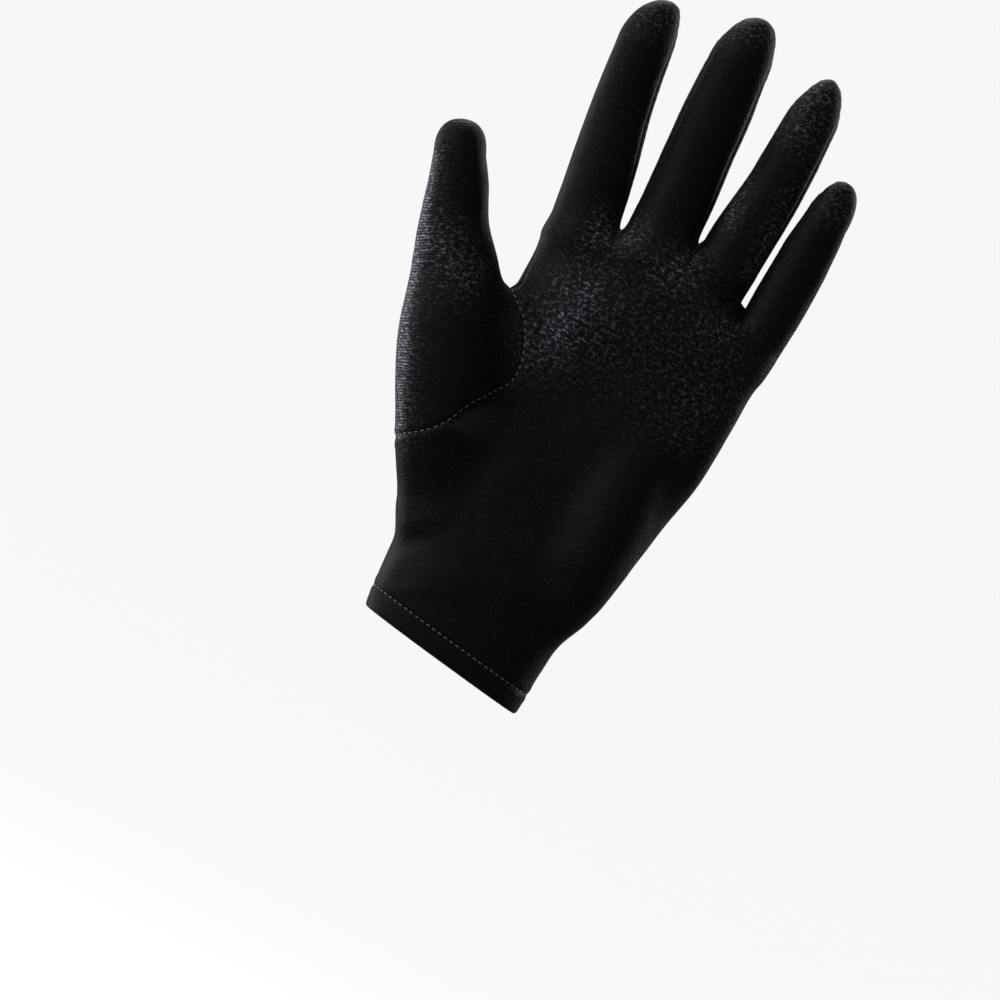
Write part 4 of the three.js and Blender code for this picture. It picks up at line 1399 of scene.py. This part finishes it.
@dataclass(kw_only=True)
class ThumbSock(SewnPiece):
    """The thumb's own piece: rings that start on its seam round the ball of the thumb."""

    rows: int = 116
    dome_rows: int = 22
    settle: float = 1.6
    flat_size: tuple[float, float] = (0.085, 0.115)
    flat_area: float = 0.0062

    def build(self) -> bpy.types.Object:
        """Build the piece, whose rings turn gradually from the seam's slant to square across the thumb."""
        pattern = self.pattern
        thumb = pattern.hand.thumb
        front, back = (pattern.seam_of_thumb(face) for face in Face)
        loop = np.vstack([front[:-1], back[:0:-1]])
        even = -np.pi + np.arange(len(loop) + 1) / len(loop) * 2 * np.pi
        loop = np.vstack([loop, loop[:1]])
        rows = np.concatenate([
            np.linspace(0, pattern.dome_row, self.rows)[:-1],
            np.linspace(pattern.dome_row, pattern.tip_row, self.dome_rows),
        ])
        angles = np.tile(even, (len(rows), 1))
        grid = pattern.grow(thumb, loop, angles, rows, lambda share: np.minimum(share * self.settle, 1))
        grid[-1] = grid[-1].mean(0)
        grid[:, -1] = grid[:, 0]
        across = along_rows(grid)
        across = across - across[:, [len(loop) // 4]]
        t = pattern.climb(thumb, thumb.place(loop)[0], rows)[2]
        cloth = Cloth(self.relief)
        cloth.add(grid, np.stack([across, t], -1), False)
        return self.sew(cloth, "thumb_satin", "thumb_piece")


@dataclass(kw_only=True)
class Fourchette(SewnPiece):
    """The strip between two fingers, from one fingertip down round the crotch and up to the next."""

    gap: int
    pair: str
    columns: int = 14
    flat_size: tuple[float, float] = (0.010, 0.16)
    flat_area: float = 0.00115

    def saddle(self) -> Array:
        """Return the strip's lowest row, from the palm's quirk over the crotch to the back's."""
        front, back = (self.pattern.quirks[face][self.gap] for face in Face)
        top = self.pattern.crotches[self.gap]
        share = np.linspace(0, 1, self.columns + 1)
        x = np.full_like(share, top[0])
        y = mix(front[1], back[1], (1 - np.cos(share * np.pi)) / 2)
        z = mix(mix(front[2], back[2], share), top[2], np.sin(share * np.pi))
        row = self.pattern.hand.press(np.stack([x, y, z], -1))
        row[0], row[-1] = front, back
        return row

    def build(self) -> bpy.types.Object:
        """Build the strip, whose rows run down the first finger's side and up the next one's."""
        pattern, saddle = self.pattern, self.saddle()
        places = np.linspace(-1, 1, self.columns + 1)
        down, up = (pattern.strip_side(i, self.gap, saddle, places) for i in (self.gap, self.gap + 1))
        grid = np.concatenate([down[::-1], up[1:]])
        cloth = Cloth(self.relief)
        across = along_rows(grid)
        centre = grid[:, self.columns // 2]
        along = np.repeat(travelled(centre)[:, None], self.columns + 1, axis=1)
        cloth.add(grid, np.stack([across, along], -1), True)
        return self.sew(cloth, f"strip_{self.pair}", f"fourchette_{self.pair}")


@dataclass
class Hem:
    """The cloth turned up at the wrist: one closed profile carried round under the two panels.

    height in the profile is a share of the hem's height and depth of its cloth, from the seam down the
    outside, round the edge and up the inside.
    """

    pattern: Pattern
    relief: Relief
    cloth: float = 2.2
    gap: float = 0.12
    lanes: int = 210
    steps: int = 7
    profile: Table = field(default_factory=lambda: Table("height depth", [
        (0, 1, 0),
        (1, 0.75, -0.04),
        (2, 0.45, -0.05),
        (3, 0.18, 0),
        (4, 0.04, 0.14),
        (5, 0, 0.45),
        (6, 0.05, 0.8),
        (7, 0.25, 1),
        (8, 0.6, 1.02),
        (9, 0.93, 1),
        (10, 1, 0.9),
        (11, 1, 0.45),
    ]))

    def build(self) -> bpy.types.Object:
        """Build the hem, the profile at each angle round the wrist being pushed in along the normal."""
        pattern = self.pattern
        last = self.profile.places[-1]
        place = np.linspace(0, last + 1, len(self.profile.places) * self.steps + 1)[:-1]
        closed = np.clip(place - last, 0, 1)
        height = mix(self.profile.at("height", place), 1, closed)
        depth = mix(self.profile.at("depth", place), 0, closed)
        angle = np.linspace(0, 2 * np.pi, self.lanes + 1)[:-1]
        clear = pattern.hem_height - self.gap
        outside = pattern.wrist_ring(height[None, :] * clear, angle[:, None])
        normals = pattern.hand.normals(outside)
        level = unit(normals * (1, 1, 0))
        base = outside.reshape(-1, 3)
        lifted = self.relief.raise_cloth(base, normals.reshape(-1, 3)).reshape(outside.shape)
        grid = lifted - (depth[None, :] * self.cloth)[..., None] * level
        count, loops = grid.shape[:2]
        ids = np.arange(count * loops).reshape(count, loops)
        right, down = np.roll(ids, -1, axis=0), np.roll(ids, -1, axis=1)
        cross = np.roll(right, -1, axis=1)
        faces = two_each(ids, right, cross, down)
        round_wrist = travelled(outside)[:, [0]] * np.ones(loops)
        step = np.linalg.norm(np.diff(grid, axis=1), axis=-1)
        over = -np.concatenate([np.zeros((count, 1)), np.cumsum(step, axis=1)], axis=1)
        flat = np.stack([round_wrist, pattern.hem_height + over], -1).reshape(-1, 2)
        smooth = np.ones(len(faces), bool)
        # The hem's share of the painted glint zones, where sparks are painted.
        glint_zone = self.relief.glint_zone_level(grid.reshape(-1, 3))
        piece = put_in_scene("hem_satin", grid.reshape(-1, 3), faces, flat[faces], smooth, glint_zone)
        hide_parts("cuff_hem")
        return piece


@dataclass
class Stitching:
    """A line of stitches: slim rounded grains of thread that lie in the seam's groove."""

    name: str
    pitch: float
    length: float
    thick: float
    sunk: float
    turns: int = 8
    bends: int = 7

    def build(self, line: Array, normals: Array) -> bpy.types.Object:
        """Lay the stitches.

        Each is an ellipsoid: half the length along the seam times a sine, and the thickness round it times
        the cosine.

        Args:
            line: the seam's points on the cloth.
            normals: the outward directions there.

        Returns:
            The stitches as one piece.
        """
        s = travelled(line)
        count = int(s[-1] / self.pitch)
        centre = (np.arange(count) + 0.5) * s[-1] / count

        def at(values: Array, shift: float) -> Array:
            """Return values at the stitches' middles, moved along the seam."""
            return np.column_stack([np.interp(centre + shift, s, values[:, axis]) for axis in range(3)])

        way = unit(at(line, self.length / 4) - at(line, -self.length / 4))
        up = unit(at(normals, 0))
        side = np.cross(way, up)
        turn = np.linspace(0, 2 * np.pi, self.turns, endpoint=False)
        turn, lift = np.meshgrid(turn, np.linspace(-1, 1, self.bends) * np.pi / 2)
        along = np.sin(lift) * self.length / 2
        radius = np.cos(lift) * self.thick / 2
        points = (
            (at(line, 0) - self.sunk * up)[:, None, None, :]
            + along[..., None] * way[:, None, None, :]
            + (radius * np.cos(turn))[..., None] * side[:, None, None, :]
            + (radius * np.sin(turn))[..., None] * up[:, None, None, :]
        )
        size = self.bends * self.turns
        ids = np.arange(size).reshape(self.bends, self.turns)
        ids[0], ids[-1] = ids[0, 0], ids[-1, 0]
        a, b = ids[:-1], np.roll(ids[:-1], -1, axis=1)
        d, c = ids[1:], np.roll(ids[1:], -1, axis=1)
        grain = two_each(a, d, c, b)
        grain = grain[whole(grain)]
        faces = (grain + (np.arange(count) * size)[:, None, None]).reshape(-1, 3)
        used, faces = np.unique(faces, return_inverse=True)
        faces = faces.reshape(-1, 3)
        points = points.reshape(-1, 3)[used]
        return put_in_scene(self.name, points, faces, None, np.ones(len(faces), bool))


@dataclass
class Glove:
    """The whole glove: its form, its seams, its pieces and their finishes."""

    hand: Hand = field(default_factory=Hand)
    wrinkles: tuple[Fold, ...] = (
        Fold(Face.PALM, (-0.02, 0.13), (0.10, 0.21), 2.6, -0.55),
        Fold(Face.PALM, (0.0, 0.21), (0.14, 0.27), 3.0, 0.5),
        Fold(Face.PALM, (0.02, 0.08), (0.3, 0.14), 2.4, 0.4),
        Fold(Face.PALM, (0.4, 0.10), (0.72, 0.17), 2.6, -0.4),
        Fold(Face.PALM, (0.1, 0.86), (0.22, 0.80), 2.4, 0.35),
        Fold(Face.PALM, (0.42, 0.84), (0.55, 0.88), 2.2, 0.35),
        Fold(Face.BACK, (0.05, 0.10), (0.3, 0.16), 2.6, 0.45),
        Fold(Face.BACK, (0.4, 0.12), (0.7, 0.19), 2.6, -0.45),
        Fold(Face.BACK, (0.0, 0.30), (0.25, 0.38), 3.0, 0.4),
    )
    # Painted glint zones: streaks where the threads are painted light and glossy, placed where the lights
    # make the satin sparkle: the thumb's web and rim, the finger roots and the fingertips.
    glint_zones: tuple[GlintZone, ...] = (
        GlintZone((-14, -13, 104), (-10, -13, 120), 10, 0.74),
        GlintZone((4, -14, 112), (18, -14, 122), 16, 0.22),
        GlintZone((-13, -9, 141), (-7, -9, 143), 6.5, 0.75),
        GlintZone((11, -9, 138), (15, -9, 141), 7, 0.75),
        GlintZone((29, -8, 127), (33, -8, 131), 6, 0.7),
        GlintZone((-56, -20, 116), (-46, -20, 110), 8, 0.6),
        GlintZone((29, -8, 196), (29, -8, 208), 6.5, 0.8),
        GlintZone((34, -6, 150), (32, -6, 190), 3.5, 0.8),
        GlintZone((22, -6, 160), (11, -6, 205), 3, 0.7),
        GlintZone((-4, -8, 216), (3, -8, 218), 6, 0.5),
        GlintZone((-28, -8, 206), (-22, -8, 210), 6, 0.5),
        GlintZone((-17, -4, 160), (-20, -4, 190), 3, 0.7),
        GlintZone((49, -6, 178), (47, -6, 184), 5, 0.6),
        GlintZone((-71, -14, 138), (-54, -12, 77), 5.5, 1.25),
        GlintZone((-54, -11, 80), (-46, -9, 60), 7.0, 1.5),
        GlintZone((-34, -4, 40), (-38, -4, 8), 3.5, 0.15),
        GlintZone((36, -12, 104), (42, -9, 110), 14, 0.36),
        GlintZone((-20, 18, 105), (28, 18, 100), 13, 0.35),
        GlintZone((-5, 18, 70), (20, 18, 30), 13, 0.25),
    )
    unevenness: tuple[Unevenness, ...] = (
        Unevenness(0.10, 26, 18, 7),
        Unevenness(0.035, 7, 26, 11),
    )

    def __post_init__(self) -> None:
        """Lay out the pattern and the seams."""
        self.pattern = Pattern(self.hand)
        self.relief = Relief(self.hand, self.seams(), self.wrinkles, self.unevenness, self.glint_zones)

    def seams(self) -> list[Seam]:
        """Return the thumb's seam, the hem's, the side seams and those of the strips."""
        pattern = self.pattern
        front, back = (pattern.seam_of_thumb(face) for face in Face)
        thumb = np.vstack([front, back[::-1]])
        hem = pattern.wrist_ring(pattern.hem_height, np.linspace(0, 2 * np.pi, pattern.hem_steps))
        left, rows = pattern.left_edge(Face.PALM), pattern.palm_rows
        index, little = self.hand.fingers[0], self.hand.fingers[-1]
        up_index = self.outer_side(index, pattern.side_corners[0], np.pi)
        up_little = self.outer_side(little, pattern.side_corners[1], 0.0)
        found = [
            Seam(thumb, groove=0.42, reach=0.75, puff=0.16, pucker=0.14, wave=2.6),
            Seam(hem, groove=0.25, reach=0.7, puff=0.10, pucker=0.05, wave=2.0),
            Seam(left[rows <= pattern.foot_row], groove=0.12, reach=0.6, puff=0.05),
            Seam(np.vstack([left[rows >= pattern.web_row], up_index]), groove=0.15, reach=0.6, puff=0.06),
            Seam(np.vstack([pattern.right_edge(), up_little]), groove=0.15, reach=0.6, puff=0.06),
        ]
        for gap in range(len(self.hand.fingers) - 1):
            for face in Face:
                start = pattern.quirks[face][gap][None]
                down, up = (pattern.strip_side(i, gap, start, face.value)[:, 0] for i in (gap, gap + 1))
                found.append(Seam(np.vstack([down[::-1], up]), groove=0.3, reach=0.65, puff=0.1, pucker=0.06))
        return found

    def outer_side(self, finger: Limb, corner: Array, angle: float) -> Array:
        """Return the side seam up an outer finger to its tip."""
        rows = self.pattern.finger_rows
        angles = np.full((len(rows), 1), angle)
        return self.pattern.grow(finger, corner[None], angles, rows)[:, 0]

    def build(self) -> None:
        """Build and dress every piece."""
        satin = Satin(Slot.SATIN).material()
        # The thumb's piece has stronger ribs and a bright painted rib sheen in its glint zones, along its rim
        # where light catches the rows.
        thumb_satin = Satin(Slot.SATIN, rib=0.30, rib_sheen_strength=0.5).material()
        strip_satin = Satin(Slot.STRIP).material()
        hem_satin = Satin(Slot.HEM).material()
        thread = Thread().material()
        thumb_line = self.relief.seams[0].line
        hem_line = self.relief.seams[1].line
        stitches = {}
        for stitching, line in (
            (Stitching("thumb_stitching", pitch=2.3, length=1.5, thick=0.42, sunk=-0.05), thumb_line),
            (Stitching("hem_stitching", pitch=2.2, length=1.5, thick=0.42, sunk=-0.05), hem_line),
        ):
            normals = self.hand.normals(line)
            stitches[stitching.name] = stitching.build(self.relief.raise_cloth(line, normals), normals)
            self.dress(stitches[stitching.name], thread, Slot.SATIN)
        hem = Hem(self.pattern, self.relief).build()
        self.dress(hem, hem_satin, Slot.HEM)
        own = {"pattern": self.pattern, "relief": self.relief}
        for face in Face:
            self.lay(Trank(face=face, **own), satin, Slot.SATIN)
        self.lay(ThumbSock(**own), thumb_satin, Slot.SATIN)
        for gap, pair in enumerate(("index_middle", "middle_ring", "ring_little")):
            self.lay(Fourchette(gap=gap, pair=pair, **own), strip_satin, Slot.STRIP)

    def lay(self, sewn: SewnPiece, material: bpy.types.Material, slot: Slot) -> None:
        piece = sewn.build()
        self.dress(piece, material, slot)

    @staticmethod
    def dress(piece: bpy.types.Object, material: bpy.types.Material, slot: Slot) -> None:
        """Give a piece its material."""
        piece.data.materials.append(material)


@dataclass(frozen=True)
class Softbox:
    """A square light. right, up and away are metres from the glove's middle, as the camera sees it."""

    name: str
    right: float
    up: float
    away: float
    width: float
    height: float
    power: float


@dataclass
class Studio:
    """The camera, the lights and the pale floor.

    The camera looks level at the palm, turned by roll so that the hand leans to the right in the picture.
    middle is the point at the picture's middle and view is what the picture's width shows, in metres.
    """

    middle: tuple[float, float, float] = (-0.0053, 0, 0.0526)
    distance: float = 1.6
    view: float = 0.31
    roll: float = 26
    sensor: float = 36
    glove_middle: tuple[float, float, float] = (-0.005, 0, 0.1)
    floor_height: float = -0.24
    floor_radius: float = 1.6
    wall_radius: float = 3.2
    wall_height: float = 2.5
    turns: int = 96
    arc_steps: int = 24
    surround: tuple[float, ...] = (0.9, 0.92, 1, 1)
    surround_strength: float = 0.20
    softboxes: tuple[Softbox, ...] = (
        Softbox("right", 0.95, 0.25, 0.70, 0.5, 1.0, 9),
        Softbox("left", -0.95, 0.35, 0.60, 0.5, 0.9, 6),
        Softbox("top", 0.1, 1.0, 0.60, 0.9, 0.5, 8),
        Softbox("upper_left", -0.80, 0.80, -0.60, 0.5, 0.5, 8),
    )

    def axes(self) -> tuple[Vector, Vector, Vector]:
        """Return the camera's right, up and backward directions."""
        turn = np.radians(self.roll)
        right = Vector((np.cos(turn), 0, np.sin(turn)))
        up = Vector((-np.sin(turn), 0, np.cos(turn)))
        return right, up, Vector((0, -1, 0))

    def camera(self) -> None:
        """Set up the camera."""
        right, up, back = self.axes()
        data = bpy.data.cameras.new("camera")
        data.sensor_width = self.sensor
        data.lens = self.sensor * self.distance / self.view
        camera = bpy.data.objects.new("camera", data)
        turn = Matrix((right, up, back)).transposed().to_4x4()
        camera.matrix_world = Matrix.Translation(Vector(self.middle) + back * self.distance) @ turn
        bpy.context.scene.collection.objects.link(camera)
        bpy.context.scene.camera = camera

    def lights(self) -> None:
        """Hang the softboxes round the glove, each turned to its middle, in a dim grey surround."""
        right, up, back = self.axes()
        centre = Vector(self.glove_middle)
        for box in self.softboxes:
            data = bpy.data.lights.new(box.name, "AREA")
            data.shape = "RECTANGLE"
            data.size, data.size_y = box.width, box.height
            data.energy = box.power
            light = bpy.data.objects.new(box.name, data)
            light.location = centre + right * box.right + up * box.up - back * box.away
            light.rotation_euler = (light.location - centre).to_track_quat("Z", "Y").to_euler()
            light.visible_camera = False
            bpy.context.scene.collection.objects.link(light)
        world = bpy.data.worlds.new("surround")
        world.use_nodes = True
        glow = world.node_tree.nodes["Background"].inputs
        glow["Color"].default_value = self.surround
        glow["Strength"].default_value = self.surround_strength
        bpy.context.scene.world = world

    def backdrop(self) -> None:
        """Lay the floor: a disc that sweeps up in an arc to a round wall, unseen in the satin."""
        arc = np.linspace(0, np.pi / 2, self.arc_steps)
        bend = self.wall_radius - self.floor_radius
        sweep = self.floor_radius + bend * np.sin(arc)
        radius = np.concatenate([[0, self.floor_radius / 2], sweep, [self.wall_radius]])
        height = np.concatenate([[0, 0], bend * (1 - np.cos(arc)), [bend + self.wall_height]])
        height = height + self.floor_height
        angle = np.linspace(0, 2 * np.pi, self.turns + 1)
        grid = np.stack([
            radius[:, None] * np.cos(angle), radius[:, None] * np.sin(angle), height[:, None] + 0 * angle,
        ], -1)
        ids = np.arange(grid.shape[0] * grid.shape[1]).reshape(grid.shape[:2])
        a, b, c, d = ids[:-1, :-1], ids[:-1, 1:], ids[1:, 1:], ids[1:, :-1]
        faces = np.stack([a, d, c, b], -1).reshape(-1, 4)
        mesh = bpy.data.meshes.new("floor")
        mesh.from_pydata(grid.reshape(-1, 3).tolist(), [], faces.tolist())
        mesh.polygons.foreach_set("use_smooth", np.ones(len(faces), bool))
        mesh.materials.append(Backdrop().material())
        floor = bpy.data.objects.new("floor", mesh)
        floor.visible_glossy = False
        floor.visible_diffuse = False
        bpy.context.scene.collection.objects.link(floor)


def main() -> None:
    """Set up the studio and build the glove."""
    logging.basicConfig(level=logging.INFO, format="%(message)s")
    bpy.context.scene.view_settings.view_transform = "Standard"
    studio = Studio()
    studio.camera()
    studio.lights()
    studio.backdrop()
    Glove().build()
    bpy.context.view_layer.update()


if __name__ == "__main__":
    main()
